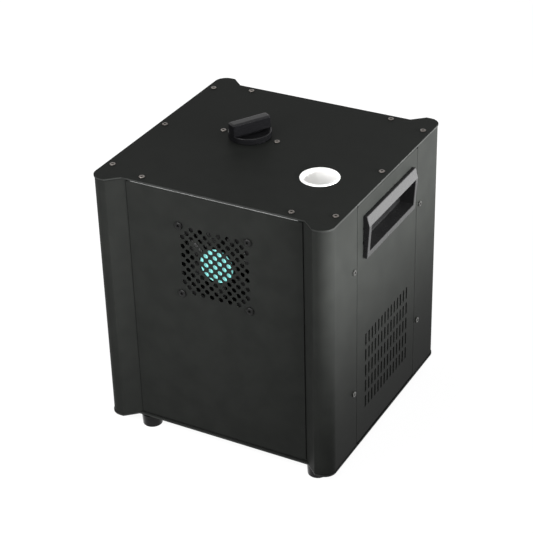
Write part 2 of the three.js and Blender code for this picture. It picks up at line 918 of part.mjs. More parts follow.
// Hopper, Z = 0 on the plate's upper face
const flangeTop = -BODY.plate - FIT;
const flangeUnder = flangeTop - HOPPER.flangeThickness;
const bowlTop = flangeUnder - FIT;
const spoutBottom = feedAxis + FEED.spoutRise - plateTop;
const spoutTop = spoutBottom + HOPPER.spoutLength;
const bowlBottom = spoutTop + HOPPER.coneHeight;

function hopperCollar() {
  const inner = HOPPER.neckRadius - HOPPER.wall;
  return revolve([
    [inner, flangeUnder],
    [HOPPER.flangeRadius, flangeUnder],
    [HOPPER.flangeRadius, flangeTop],
    [HOPPER.neckRadius, flangeTop],
    [HOPPER.neckRadius, HOPPER.neckProud],
    [inner, HOPPER.neckProud],
    [inner, flangeUnder],
  ]);
}

function hopper() {
  const wall = HOPPER.wall;
  return revolve([
    [HOPPER.spoutRadius - wall, spoutBottom],
    [HOPPER.spoutRadius, spoutBottom],
    [HOPPER.spoutRadius, spoutTop],
    [HOPPER.bowlRadius, bowlBottom],
    [HOPPER.bowlRadius, bowlTop - HOPPER.bowlRim],
    [HOPPER.flangeRadius, bowlTop - HOPPER.bowlRim],
    [HOPPER.flangeRadius, bowlTop],
    [HOPPER.bowlRadius - wall, bowlTop],
    [HOPPER.bowlRadius - wall, bowlBottom],
    [HOPPER.spoutRadius - wall, spoutTop],
    [HOPPER.spoutRadius - wall, spoutBottom],
  ]);
}

function hopperCap() {
  const skirt = CAP.radius - CAP.skirtWall;
  const half = CAP.barThickness / 2;
  const disc = revolve([
    [0, CAP.ceiling],
    [CAP.plugRadius - CAP.plugWall, CAP.ceiling],
    [CAP.plugRadius - CAP.plugWall, -CAP.plugDepth],
    [CAP.plugRadius, -CAP.plugDepth],
    [CAP.plugRadius, CAP.ceiling],
    [skirt, CAP.ceiling],
    [skirt, CAP.skirtGap],
    [CAP.radius, CAP.skirtGap],
    [CAP.radius, CAP.rim - CAP.rimEdge],
    [CAP.radius - CAP.rimEdge, CAP.rim],
    [CAP.radius - CAP.rimWidth, CAP.rim],
    [half, CAP.floor],
    [0, CAP.floor],
  ]);
  const foot = (CAP.ceiling + CAP.floor) / 2;
  const bar = sweptAcross([
    [-half, foot],
    [half, foot],
    [half, CAP.barTop - CAP.barEdge],
    [half - CAP.barEdge, CAP.barTop],
    [CAP.barEdge - half, CAP.barTop],
    [-half, CAP.barTop - CAP.barEdge],
  ], 2 * CAP.radius + OVERRUN).rotateX(Math.PI / 2).rotateZ(CAP_BAR_TURN);
  const limit = drum(CAP.radius, CAP.barTop + OVERRUN);
  return geometryOf(solid(disc).add(solid(bar).intersect(solid(limit))));
}

place('hopper_collar', hopperCollar(), COATS.aluminium, [hopperX, hopperY, plateTop]);
place('hopper', hopper(), COATS.aluminium, [hopperX, hopperY, plateTop]);
place('hopper_cap', hopperCap(), COATS.gloss, [hopperX, hopperY, plateTop]);
place('cap_seal', ring(SEAL.inner, SEAL.outer, SEAL.thickness), COATS.rubber, [
  hopperX,
  hopperY,
  plateTop + HOPPER.neckProud + FIT,
]);

// Nozzle tube, held by a collar under the plate
const nozzleLength = plateTop + NOZZLE.proud - nozzleBottom;

function nozzleTube() {
  const collarTop = nozzleLength - NOZZLE.proud - BODY.plate - FIT;
  return revolve([
    [NOZZLE.innerRadius, 0],
    [NOZZLE.outerRadius, 0],
    [NOZZLE.outerRadius, collarTop - COLLAR.height],
    [COLLAR.radius, collarTop - COLLAR.height],
    [COLLAR.radius, collarTop],
    [NOZZLE.outerRadius, collarTop],
    [NOZZLE.outerRadius, nozzleLength - NOZZLE.edge],
    [NOZZLE.outerRadius - NOZZLE.edge, nozzleLength],
    [NOZZLE.innerRadius + NOZZLE.edge, nozzleLength],
    [NOZZLE.innerRadius, nozzleLength - NOZZLE.edge],
    [NOZZLE.innerRadius, 0],
  ]);
}

place('nozzle_tube', nozzleTube(), COATS.ceramic, [nozzleX, nozzleY, nozzleBottom]);

// Heated core between blower and nozzle, with the feed's side opening
const feedRun = Math.hypot(hopperX - nozzleX, hopperY - nozzleY);
const feedTurn = Math.atan2(hopperY - nozzleY, hopperX - nozzleX);

function heaterCore() {
  const body = revolve([
    [CORE.innerRadius, 0],
    [CORE.outerRadius, 0],
    [CORE.outerRadius, CORE.length - CORE.flangeHeight],
    [CORE.flangeRadius, CORE.length - CORE.flangeHeight],
    [CORE.flangeRadius, CORE.length],
    [CORE.innerRadius, CORE.length],
    [CORE.innerRadius, 0],
  ]);
  const opening = drum(FEED.innerRadius, CORE.outerRadius + OVERRUN)
    .rotateY(Math.PI / 2)
    .rotateZ(feedTurn)
    .translate(0, 0, FEED.axisRise);
  return carve([body], [opening]);
}

const sleeveTop = coreBottom + CORE.length - CORE.flangeHeight - FIT;
const sleeveInner = CORE.outerRadius + FIT;
const coilInner = sleeveInner + SLEEVE.thickness + FIT;
const coilRadius = (coilInner + COIL.wireRadius) / Math.cos(Math.PI / COIL_STEPS_PER_TURN);
const coilHeight = COIL_TURNS * COIL.pitch;

class Helix extends THREE.Curve {
  getPoint(share) {
    const angle = share * COIL_TURNS * 2 * Math.PI;
    return new THREE.Vector3(coilRadius * Math.cos(angle), coilRadius * Math.sin(angle), share * coilHeight);
  }
}

function inductionCoil() {
  const wire = new THREE.Shape(vectors(circlePoints(0, 0, COIL.wireRadius, COIL_SIDES)));
  return carve([new THREE.ExtrudeGeometry(wire, {
    steps: COIL_TURNS * COIL_STEPS_PER_TURN,
    extrudePath: new Helix(),
    bevelEnabled: false,
  })]);
}

place('heater_core', heaterCore(), COATS.steel, [nozzleX, nozzleY, coreBottom]);
place('core_sleeve', ring(sleeveInner, sleeveInner + SLEEVE.thickness, SLEEVE.length), COATS.ceramic, [
  nozzleX,
  nozzleY,
  sleeveTop - SLEEVE.length,
]);
place('induction_coil', inductionCoil(), COATS.copper, [
  nozzleX,
  nozzleY,
  sleeveTop - (SLEEVE.length + coilHeight) / 2,
]);

// Granule feed: a group at the core's axis whose X runs towards the hopper
const feed = new THREE.Group();
feed.position.set(nozzleX, nozzleY, feedAxis);
feed.rotation.z = feedTurn;
machine.add(feed);

const feedEnd = feedRun + FEED.pastSpout;
const shaftEnd = feedEnd + FEED.endWall + FIT + FEED.shaftReach;
const inletTop = FEED.spoutRise + FEED.spoutCover;
const motorLength = across(FEED.motorLengthShare);
const inletBore = HOPPER.spoutRadius + FIT;

function along(geometry, start) {
  return geometry.rotateY(Math.PI / 2).translate(start, 0, 0);
}

function feedTube() {
  const tube = along(drum(FEED.outerRadius, feedEnd + FEED.endWall / 2), 0);
  const end = along(drum(FEED.endRadius, FEED.endWall), feedEnd);
  const inlet = drum(inletBore + FEED.inletWall, inletTop).translate(feedRun, 0, 0);
  const bore = along(drum(FEED.innerRadius, feedEnd), 0);
  const inletHole = drum(inletBore, inletTop + OVERRUN).translate(feedRun, 0, 0);
  const through = FEED.endWall + 2 * OVERRUN;
  const shaftHole = along(drum(FEED.shaftRadius + FIT, through, SMALL_ROUND), feedEnd - OVERRUN);
  const columnRoom = drum(CORE.outerRadius + FIT, 2 * FEED.endRadius).translate(0, 0, -FEED.endRadius);
  return carve([tube, end, inlet], [bore, inletHole, shaftHole, columnRoom]);
}

function auger() {
  const start = CORE.outerRadius + FEED.augerFromCore;
  const length = feedEnd - FEED.augerFromCore - start;
  const core = FEED.augerCoreRadius;
  const rib = FEED.augerRib;
  const section = [
    [FEED.augerRadius, -rib],
    [FEED.augerRadius, rib],
    [core, rib],
    [0, core],
    [-core, rib],
    [-core, -rib],
    [0, -core],
    [core, -rib],
  ];
  const flight = new THREE.ExtrudeGeometry(new THREE.Shape(vectors(section)), {
    depth: length,
    steps: Math.round((length / FEED.augerPitch) * AUGER_STEPS_PER_TURN),
    bevelEnabled: false,
  });
  const position = flight.attributes.position;
  const axis = new THREE.Vector3(0, 0, 1);
  const point = new THREE.Vector3();
  for (let i = 0; i < position.count; i += 1) {
    point.fromBufferAttribute(position, i);
    point.applyAxisAngle(axis, (point.z / FEED.augerPitch) * 2 * Math.PI);
    position.setXYZ(i, point.x, point.y, point.z);
  }
  const shaft = drum(FEED.shaftRadius, shaftEnd - start - OVERRUN, SMALL_ROUND).translate(0, 0, OVERRUN);
  return carve([along(flight, start), along(shaft, start)]);
}

function feedMotor() {
  const body = along(drum(FEED.motorRadius, motorLength), 0);
  const cap = along(drum(FEED.motorCapRadius, FEED.motorCapLength + OVERRUN), motorLength - OVERRUN);
  const bore = along(drum(FEED.shaftRadius + FIT, FEED.shaftReach + FIT + OVERRUN, SMALL_ROUND), -OVERRUN);
  return carve([body, cap], [bore]);
}

function feedBracket() {
  const floor = baseTop - feedAxis;
  const height = BRACKET.cradleDepth - FEED.outerRadius - floor;
  const upright = block(BRACKET.thickness, BRACKET.width, height, [0, 0, floor]);
  const footMiddle = -BRACKET.footLength / 2;
  const base = block(BRACKET.footLength, BRACKET.width, BRACKET.thickness, [footMiddle, 0, floor]);
  const cradle = along(drum(FEED.outerRadius + FIT, BRACKET.footLength), footMiddle);
  return carve([upright, base], [cradle]);
}

place('feed_tube', feedTube(), COATS.aluminium, [0, 0, 0], feed);
place('auger', auger(), COATS.steel, [0, 0, 0], feed);
place('feed_motor', feedMotor(), COATS.steel, [feedEnd + FEED.endWall + FIT, 0, 0], feed);
place('feed_bracket', feedBracket(), COATS.aluminium, [BRACKET.fromColumnShare * feedRun, 0, 0], feed);

// Blower under the core: axis along Y, outlet up into the core
const blowerX = nozzleX + BLOWER.outletWidth / 2 - BLOWER.radius;

function lying(geometry) {
  return geometry.rotateX(-Math.PI / 2);
}

function blowerHousing() {
  const half = BLOWER.width / 2;
  const wall = BLOWER.wall;
  const outletX = BLOWER.radius - BLOWER.outletWidth / 2;
  const roomWidth = BLOWER.width - 2 * wall;
  const scroll = lying(drum(BLOWER.radius, BLOWER.width)).translate(0, -half, 0);
  const outlet = block(BLOWER.outletWidth, BLOWER.width, housingTop, [outletX, 0, 0]);
  const footPad = block(BLOWER.footLength, BLOWER.width, BLOWER.radius / 2, [
    0,
    0,
    -BLOWER.radius - BLOWER.footHeight,
  ]);
  const room = lying(drum(BLOWER.radius - wall, roomWidth)).translate(0, wall - half, 0);
  const duct = block(BLOWER.outletWidth - 2 * wall, roomWidth, housingTop - BLOWER.topWall, [outletX, 0, 0]);
  const throat = drum(CORE.innerRadius, BLOWER.topWall + 2 * OVERRUN)
    .translate(outletX, 0, housingTop - BLOWER.topWall - OVERRUN);
  const inlet = lying(drum(BLOWER.inletRadius, wall + 2 * OVERRUN))
    .translate(-BLOWER.impellerShift, -half - OVERRUN, 0);
  const shaftHole = lying(drum(BLOWER.shaftRadius + FIT, wall + 2 * OVERRUN, SMALL_ROUND))
    .translate(-BLOWER.impellerShift, half - wall - OVERRUN, 0);
  return carve([scroll, outlet, footPad], [room, duct, throat, inlet, shaftHole]);
}

function blowerImpeller() {
  const rooted = BLOWER.discThickness / 2;
  const shaftLength = BLOWER.discThickness + BLOWER.discGap + BLOWER.wall + FIT + BLOWER.shaftReach;
  const disc = drum(BLOWER.impellerRadius, BLOWER.discThickness);
  const hub = drum(BLOWER.hubRadius, BLOWER.hubLength + rooted).translate(0, 0, -BLOWER.hubLength);
  const shaft = drum(BLOWER.shaftRadius, shaftLength, SMALL_ROUND);
  const middle = BLOWER.impellerRadius - BLOWER.bladeInset - BLOWER.bladeDepth / 2;
  const blades = [];
  for (let i = 0; i < BLOWER_BLADES; i += 1) {
    blades.push(block(BLOWER.bladeDepth, BLOWER.bladeThickness, BLOWER.impellerWidth + rooted, [
      middle,
      0,
      -BLOWER.impellerWidth,
    ]).rotateZ((i * 2 * Math.PI) / BLOWER_BLADES));
  }
  return lying(carve([disc, hub, shaft, ...blades]));
}

function blowerMotor() {
  const bore = drum(BLOWER.shaftRadius + FIT, BLOWER.shaftReach + FIT + OVERRUN, SMALL_ROUND)
    .translate(0, 0, -OVERRUN);
  return lying(carve([drum(BLOWER.motorRadius, BLOWER.motorLength)], [bore]));
}

const impellerX = blowerX - BLOWER.impellerShift;
const discY = nozzleY + BLOWER.width / 2 - BLOWER.wall - BLOWER.discGap - BLOWER.discThickness;
place('blower_housing', blowerHousing(), COATS.plastic, [blowerX, nozzleY, blowerZ]);
place('blower_impeller', blowerImpeller(), COATS.plastic, [impellerX, discY, blowerZ]);
place('blower_motor', blowerMotor(), COATS.steel, [
  impellerX,
  nozzleY + BLOWER.width / 2 + FIT,
  blowerZ,
]);

// Electronics on the base plate
function powerSupply() {
  const width = across(SUPPLY.widthShare);
  const depth = across(SUPPLY.depthShare);
  const length = SUPPLY.slotLengthShare * width;
  const body = block(width, depth, SUPPLY.height, [0, 0, 0]);
  const slots = [];
  for (let i = 0; i < SUPPLY_SLOTS; i += 1) {
    const y = (i - (SUPPLY_SLOTS - 1) / 2) * SUPPLY.slotPitchShare * depth;
    const place = [0, y, SUPPLY.height - SUPPLY.slotDepth];
    slots.push(block(length, SUPPLY.slotWidth, SUPPLY.slotDepth + OVERRUN, place));
  }
  return carve([body], slots);
}

function heaterDriver() {
  const width = across(DRIVER.widthShare);
  const depth = across(DRIVER.depthShare);
  const rooted = DRIVER.base / 2;
  const pitch = (width - DRIVER.finThickness) / (DRIVER_FINS - 1);
  const fins = [];
  for (let i = 0; i < DRIVER_FINS; i += 1) {
    const x = (i - (DRIVER_FINS - 1) / 2) * pitch;
    fins.push(block(DRIVER.finThickness, depth, rooted + DRIVER.finHeight, [x, 0, rooted]));
  }
  return carve([block(width, depth, DRIVER.base, [0, 0, 0]), ...fins]);
}

place('power_supply', powerSupply(), COATS.aluminium, [
  across(SUPPLY.xShare),
  across(SUPPLY.yShare),
  baseTop,
]);
place('heater_driver', heaterDriver(), COATS.aluminium, [
  across(DRIVER.xShare),
  across(DRIVER.yShare),
  baseTop,
]);

// Control panel, with studs for the board
const displayBody = { width: DISPLAY.width - 2 * DISPLAY.rim, height: DISPLAY.height - 2 * DISPLAY.rim };
const buttonPlaces = BUTTON_NAMES.map((name, i) => (i - (BUTTON_NAMES.length - 1) / 2) * BUTTON.pitch);
const signalX = across(SIGNAL.fromMiddleShare);
const mainsX = across(MAINS.fromMiddleShare);
const displayHeight = level(DISPLAY.centreShare);
const buttonHeight = level(BUTTON.centreShare);
const signalHeight = level(SIGNAL.centreShare);
const mainsHeight = level(MAINS.centreShare);
const fuseHeight = level(FUSE.centreShare);
const switchHeight = level(SWITCH.centreShare);
const boardHeight = level(BOARD.centreShare);

function controlPanel() {
  const holes = [
    rectangleHole(0, displayHeight, displayBody.width + 2 * FIT, displayBody.height + 2 * FIT),
    rectangleHole(0, switchHeight, SWITCH.bodyWidth + 2 * FIT, SWITCH.bodyHeight + 2 * FIT),
    roundHole(mainsX, fuseHeight, FUSE.bodyRadius + FIT, SMALL_ROUND),
  ];
  for (const x of buttonPlaces) {
    holes.push(roundHole(x, buttonHeight, BUTTON.radius + FIT, SMALL_ROUND));
  }
  for (const s of [-1, 1]) {
    holes.push(roundHole(s * signalX, signalHeight, SIGNAL.bodyRadius + FIT, ROUND));
    holes.push(rectangleHole(s * mainsX, mainsHeight, MAINS.bodyWidth + 2 * FIT, MAINS.bodyHeight + 2 * FIT));
  }
  const low = FIT - BOARD.behindPanel - PANEL.thickness;
  const studLength = -PANEL.thickness / 2 - low;
  const studs = fourCorners(BOARD.width / 2 - BOARD.studInset, BOARD.height / 2 - BOARD.studInset)
    .map(([x, y]) => drum(BOARD.studRadius, studLength, HOLE_SIDES).translate(x, boardHeight + y, low));
  return recessedPanel(holes, studs);
}

place('control_panel', controlPanel(), COATS.powderCoat, [0, 0, panelFace], controlSide);
place('control_board', block(BOARD.width, BOARD.height, BOARD.thickness, [0, 0, 0]), COATS.board, [
  0,
  boardHeight,
  panelBack - BOARD.behindPanel - BOARD.thickness,
], controlSide);

function displayBezel() {
  const behind = DISPLAY.depth + PANEL.thickness;
  const rim = extrude(roundedRectangle(DISPLAY.width, DISPLAY.height, DISPLAY.corner), DISPLAY.proud);
  const body = block(displayBody.width, displayBody.height, behind + DISPLAY.proud / 2, [0, 0, -behind]);
  const window = block(
    displayBody.width - DISPLAY.windowInset,
    displayBody.height - DISPLAY.windowInset,
    behind + DISPLAY.proud + 2 * OVERRUN,
    [0, 0, -behind - OVERRUN],
  );
  return carve([rim, body], [window]);
}

function displayScreen() {
  const width = displayBody.width - DISPLAY.windowInset - 2 * FIT;
  const height = displayBody.height - DISPLAY.windowInset - 2 * FIT;
  const front = DISPLAY.proud - DISPLAY.lensRecess;
  const back = FIT - PANEL.thickness - BOARD.behindPanel;
  return block(width, height, front - back, [0, 0, back]);
}

place('display_bezel', displayBezel(), COATS.gloss, [0, displayHeight, panelFace], controlSide);
place('display_screen', displayScreen(), COATS.lens, [0, displayHeight, panelFace], controlSide);

// Buttons: Z = 0 on the panel's face
function button() {
  const collarFront = -PANEL.thickness - FIT;
  const stemEnd = BUTTON.travel + FIT - BOARD.behindPanel - PANEL.thickness;
  return revolve([
    [0, stemEnd],
    [BUTTON.stemRadius, stemEnd],
    [BUTTON.stemRadius, collarFront - BUTTON.collar],
    [BUTTON.collarRadius, collarFront - BUTTON.collar],
    [BUTTON.collarRadius, collarFront],
    [BUTTON.radius, collarFront],
    [BUTTON.radius, BUTTON.proud - BUTTON.dome],
    [BUTTON.radius - BUTTON.dome, BUTTON.proud],
    [0, BUTTON.proud],
  ], SMALL_ROUND);
}

buttonPlaces.forEach((x, i) => {
  place(`button_${BUTTON_NAMES[i]}`, button(), COATS.plastic, [x, buttonHeight, panelFace], controlSide);
});

// Signal sockets: one with pins, one with holes and a release latch
const cupFloor = SIGNAL.flange - SIGNAL.cupDepth;

function pinPlaces() {
  const list = [];
  for (let i = 0; i < PIN_COUNT; i += 1) {
    const angle = Math.PI / 2 + (i * 2 * Math.PI) / PIN_COUNT;
    list.push([SIGNAL.pinCircle * Math.cos(angle), SIGNAL.pinCircle * Math.sin(angle)]);
  }
  return list;
}

function socketCup() {
  const flange = extrude(roundedRectangle(SIGNAL.width, SIGNAL.height, SIGNAL.corner), SIGNAL.flange);
  const barrel = drum(SIGNAL.bodyRadius, SIGNAL.depth + SIGNAL.flange / 2).translate(0, 0, -SIGNAL.depth);
  const cup = drum(SIGNAL.cupRadius, SIGNAL.cupDepth + OVERRUN).translate(0, 0, cupFloor);
  return drilled(joined([flange, barrel]), [cup]);
}

function signalInput() {
  const pins = pinPlaces().map(([x, y]) => drum(SIGNAL.pinRadius, SIGNAL.pinLength + OVERRUN, HOLE_SIDES)
    .translate(x, y, cupFloor - OVERRUN));
  return geometryOf(socketCup().add(joined(pins)));
}

function latchBlock(clearance, low, high) {
  const width = SIGNAL.latchWidth + 2 * clearance;
  return block(width, SIGNAL.latchHeight + 2 * clearance, high - low, [0, SIGNAL.latchUp, low]);
}

function signalOutput() {
  const face = SIGNAL.flange - SIGNAL.insertRecess;
  const insert = drum(SIGNAL.insertRadius, face - cupFloor + OVERRUN).translate(0, 0, cupFloor - OVERRUN);
  const holes = pinPlaces().map(([x, y]) => drum(SIGNAL.pinRadius + FIT, SIGNAL.holeDepth + OVERRUN, HOLE_SIDES)
    .translate(x, y, face - SIGNAL.holeDepth));
  const latchRoom = latchBlock(FIT, 0, SIGNAL.flange + OVERRUN);
  return geometryOf(drilled(socketCup().add(solid(insert)), [...holes, latchRoom]));
}

const latch = latchBlock(0, SIGNAL.latchTravel + FIT, SIGNAL.flange + SIGNAL.latchProud);
const inputPlace = [signalX, signalHeight, panelFace];
const outputPlace = [-signalX, signalHeight, panelFace];
place('signal_in_socket', signalInput(), COATS.blackSteel, inputPlace, controlSide);
place('signal_out_socket', signalOutput(), COATS.blackSteel, outputPlace, controlSide);
place('signal_latch', latch, COATS.steel, outputPlace, controlSide);

// Mains inlet and outlet
function mainsBody() {
  return [
    extrude(roundedRectangle(MAINS.width, MAINS.height, MAINS.corner), MAINS.flange),
    block(MAINS.bodyWidth, MAINS.bodyHeight, MAINS.depth + MAINS.flange / 2, [0, 0, -MAINS.depth]),
  ];
}

function mouthShape(margin) {
  const x = MAINS.mouthWidth / 2 + margin;
  const y = MAINS.mouthHeight / 2 + margin;
  const cut = MAINS.mouthCut;
  return [[-x, -y], [x, -y], [x, y - cut], [x - cut, y], [cut - x, y], [-x, y - cut]];
}

const bladePlaces = [[-MAINS.pinPitch, 0], [0, MAINS.pinLift], [MAINS.pinPitch, 0]];

function mainsInlet() {
  const floor = MAINS.flange - MAINS.mouthDepth;
  const mouth = prism(mouthShape(0), MAINS.mouthDepth + OVERRUN).translate(0, 0, floor);
  const bladeSize = [MAINS.pinWidth, MAINS.pinHeight, MAINS.pinLength + OVERRUN];
  const blades = bladePlaces.map(([x, y]) => block(...bladeSize, [x, y, floor - OVERRUN]));
  return geometryOf(drilled(joined(mainsBody()), [mouth]).add(joined(blades)));
}

function mainsOutlet() {
  const face = MAINS.flange - MAINS.outletRecess;
  const recess = prism(mouthShape(MAINS.outletMargin), MAINS.outletRecess + OVERRUN).translate(0, 0, face);
  const holeSize = [MAINS.pinWidth + 2 * FIT, MAINS.pinHeight + 2 * FIT, MAINS.holeDepth + OVERRUN];
  const holes = bladePlaces.map(([x, y]) => block(...holeSize, [x, y, face - MAINS.holeDepth]));
  return carve(mainsBody(), [recess, ...holes]);
}

place('mains_inlet', mainsInlet(), COATS.plastic, [mainsX, mainsHeight, panelFace], controlSide);
place('mains_outlet', mainsOutlet(), COATS.plastic, [-mainsX, mainsHeight, panelFace], controlSide);

// Fuse holder and cap
function fuseHolder() {
  const floor = FUSE.flange - FUSE.boreDepth;
  return revolve([
    [0, -FUSE.depth],
    [FUSE.bodyRadius, -FUSE.depth],
    [FUSE.bodyRadius, 0],
    [FUSE.flangeRadius, 0],
    [FUSE.flangeRadius, FUSE.flange],
    [FUSE.boreRadius, FUSE.flange],
    [FUSE.boreRadius, floor],
    [0, floor],
  ], SMALL_ROUND);
}

function fuseCap() {
  const low = FUSE.flange + FIT;
  const high = low + FUSE.capLength;
  const body = revolve([
    [0, low - FUSE.stemLength],
    [FUSE.stemRadius, low - FUSE.stemLength],
    [FUSE.stemRadius, low],
    [FUSE.capRadius, low],
    [FUSE.capRadius, high - FUSE.capEdge],
    [FUSE.capRadius - FUSE.capEdge, high],
    [0, high],
  ], SMALL_ROUND);
  const slotSize = [2 * FUSE.capRadius + OVERRUN, FUSE.slotWidth, FUSE.slotDepth + OVERRUN];
  const slot = block(...slotSize, [0, 0, high - FUSE.slotDepth]);
  return carve([body], [slot]);
}

place('fuse_holder', fuseHolder(), COATS.plastic, [mainsX, fuseHeight, panelFace], controlSide);
place('fuse_cap', fuseCap(), COATS.plastic, [mainsX, fuseHeight, panelFace], controlSide);

// Power switch, its rocker stored tipped to one side
function pivotPin(radius, reach) {
  return drum(radius, 2 * reach, SMALL_ROUND).translate(0, 0, -reach).rotateY(Math.PI / 2);
}

function switchHousing() {
  const rim = extrude(roundedRectangle(SWITCH.width, SWITCH.height, SWITCH.corner), SWITCH.proud);
  const bodySize = [SWITCH.bodyWidth, SWITCH.bodyHeight, SWITCH.depth + SWITCH.proud / 2];
  const body = block(...bodySize, [0, 0, -SWITCH.depth]);
  const cavity = block(SWITCH.cavityWidth, SWITCH.cavityHeight, SWITCH.cavityDepth + OVERRUN, [
    0,
    0,
    SWITCH.proud - SWITCH.cavityDepth,
  ]);
  const reach = SWITCH.rockerWidth / 2 + SWITCH.pinLength + FIT;
  return carve([rim, body], [cavity, pivotPin(SWITCH.pinRadius + FIT, reach)]);
}

function switchRocker() {
  const half = SWITCH.rockerHeight / 2;
  const body = sweptAcross([
    [-SWITCH.rockerBack, -half],
    [SWITCH.rockerTip, -half],
    [SWITCH.rockerFront, 0],
    [SWITCH.rockerTip, half],
    [-SWITCH.rockerBack, half],
  ], SWITCH.rockerWidth);
  return carve([body, pivotPin(SWITCH.pinRadius, SWITCH.rockerWidth / 2 + SWITCH.pinLength)]);
}

place('switch_housing', switchHousing(), COATS.gloss, [0, switchHeight, panelFace], controlSide);
const rocker = place('switch_rocker', switchRocker(), COATS.gloss, [0, switchHeight, panelFace], controlSide);
rocker.rotation.x = ROCKER_TILT;

export default machine;
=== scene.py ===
import json
import math

import bmesh
import bpy
from mathutils import Matrix, Vector
from mathutils.geometry import tessellate_polygon

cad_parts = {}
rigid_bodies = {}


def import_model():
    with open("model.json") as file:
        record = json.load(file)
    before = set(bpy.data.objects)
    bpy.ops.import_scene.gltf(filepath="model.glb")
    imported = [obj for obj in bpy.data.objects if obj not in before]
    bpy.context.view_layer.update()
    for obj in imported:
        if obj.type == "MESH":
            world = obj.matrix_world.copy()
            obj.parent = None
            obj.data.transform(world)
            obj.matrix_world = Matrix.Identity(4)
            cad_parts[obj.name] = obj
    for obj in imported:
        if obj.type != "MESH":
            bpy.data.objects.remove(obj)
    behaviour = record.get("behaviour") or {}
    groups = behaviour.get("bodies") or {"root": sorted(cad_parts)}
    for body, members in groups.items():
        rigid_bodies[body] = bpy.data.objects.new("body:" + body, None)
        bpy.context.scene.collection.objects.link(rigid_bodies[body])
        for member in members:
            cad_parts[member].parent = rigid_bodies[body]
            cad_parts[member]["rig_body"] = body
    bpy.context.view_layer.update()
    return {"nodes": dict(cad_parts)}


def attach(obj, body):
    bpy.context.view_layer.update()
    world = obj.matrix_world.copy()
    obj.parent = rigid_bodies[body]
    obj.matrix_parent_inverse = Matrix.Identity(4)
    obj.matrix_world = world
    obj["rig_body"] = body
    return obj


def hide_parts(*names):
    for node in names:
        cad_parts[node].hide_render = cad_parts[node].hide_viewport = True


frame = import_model()
MM = 0.001
TAU = 2 * math.pi
QUARTER = math.pi / 2
SIGNS = (-1, 1)
ENDS = (("front", -1), ("rear", 1))
HANDS = (("left", -1), ("right", 1))

# Sizes that the pieces share, as in the part's source
FIT = 0.3
SIDE = 122
CORNER = 12
FACE_WIDTH = 16.4
FLANK_RUN = 12.2
FLANK_DEPTH = 11
POST_FACE = 121.5
PANEL_FACE = 109.4
PANEL_HALF = 90.05
FOLD_HALF = 87.05
BASE_UNDER = 13
BASE_TOP = 15
PLATE_UNDER = 274
PLATE_TOP = 276
SHEET_LOW = 15.5
SHEET_HIGH = 273.5
FAN_Z = 203.4
HOPPER_AT = (-28.3, 12.8)
NOZZLE_AT = (69.0, -33.8)
CORNER_SCREW_AT = (114.3, 93.3)

# Local axes of each face: X across, Y up, Z out of the box
FACES = {
    "fan": Matrix(((1, 0, 0), (0, 0, -1), (0, 1, 0))),
    "control": Matrix(((-1, 0, 0), (0, 0, 1), (0, 1, 0))),
    "right": Matrix(((0, 0, 1), (1, 0, 0), (0, 1, 0))),
    "left": Matrix(((0, 0, -1), (-1, 0, 0), (0, 1, 0))),
    "top": Matrix.Identity(3),
}


# ---- Materials ----
# A wide cloud of noise mixes each finish's two colours and roughnesses, and a fine grain raises its surface.
CLOUD_SCALE = 60
CLOUD_DETAIL = 4
CLOUD_EDGES = (0.35, 0.65)
GRAIN_DETAIL = 2
GRAIN_DEPTH = 0.00004
COAT_ROUGHNESS = 0.12
# Colour and strength of the fan label's painted glow
LABEL_PAINTED_GLOW = ((0.4, 1, 0.96, 1), 0.3)


def fill(tree, node, values):
    """Sets a node's inputs, or links them where the value is another node's output."""
    for name, value in values.items():
        if isinstance(value, bpy.types.NodeSocket):
            tree.links.new(value, node.inputs[name])
        else:
            node.inputs[name].default_value = value
    return node


def add_node(tree, kind, values):
    return fill(tree, tree.nodes.new("ShaderNode" + kind), values)


def finish(name, dark, light, rough, grain=700, bump=0.2, metal=0, specular=0.5, coat=0):
    """A procedural finish: two close colours and roughnesses mixed by noise, with a fine grain."""
    material = bpy.data.materials.new(name)
    material.use_nodes = True
    tree = material.node_tree
    where = add_node(tree, "TexCoord", {}).outputs["Object"]
    cloud = add_node(tree, "TexNoise", {"Vector": where, "Scale": CLOUD_SCALE, "Detail": CLOUD_DETAIL})
    mixed = add_node(tree, "ValToRGB", {"Fac": cloud.outputs["Fac"]})
    for stop, position, colour in zip(mixed.color_ramp.elements, CLOUD_EDGES, (dark, light)):
        stop.position = position
        stop.color = (*colour, 1)
    spread = add_node(tree, "MapRange", {"Value": cloud.outputs["Fac"], "To Min": rough[0], "To Max": rough[1]})
    fine = add_node(tree, "TexNoise", {"Vector": where, "Scale": grain, "Detail": GRAIN_DETAIL})
    raised = add_node(tree, "Bump", {"Strength": bump, "Distance": GRAIN_DEPTH, "Height": fine.outputs["Fac"]})
    fill(tree, tree.nodes["Principled BSDF"], {
        "Base Color": mixed.outputs["Color"],
        "Roughness": spread.outputs["Result"],
        "Normal": raised.outputs["Normal"],
        "Metallic": metal,
        "Specular IOR Level": specular,
        "Coat Weight": coat,
        "Coat Roughness": COAT_ROUGHNESS,
    })
    return material


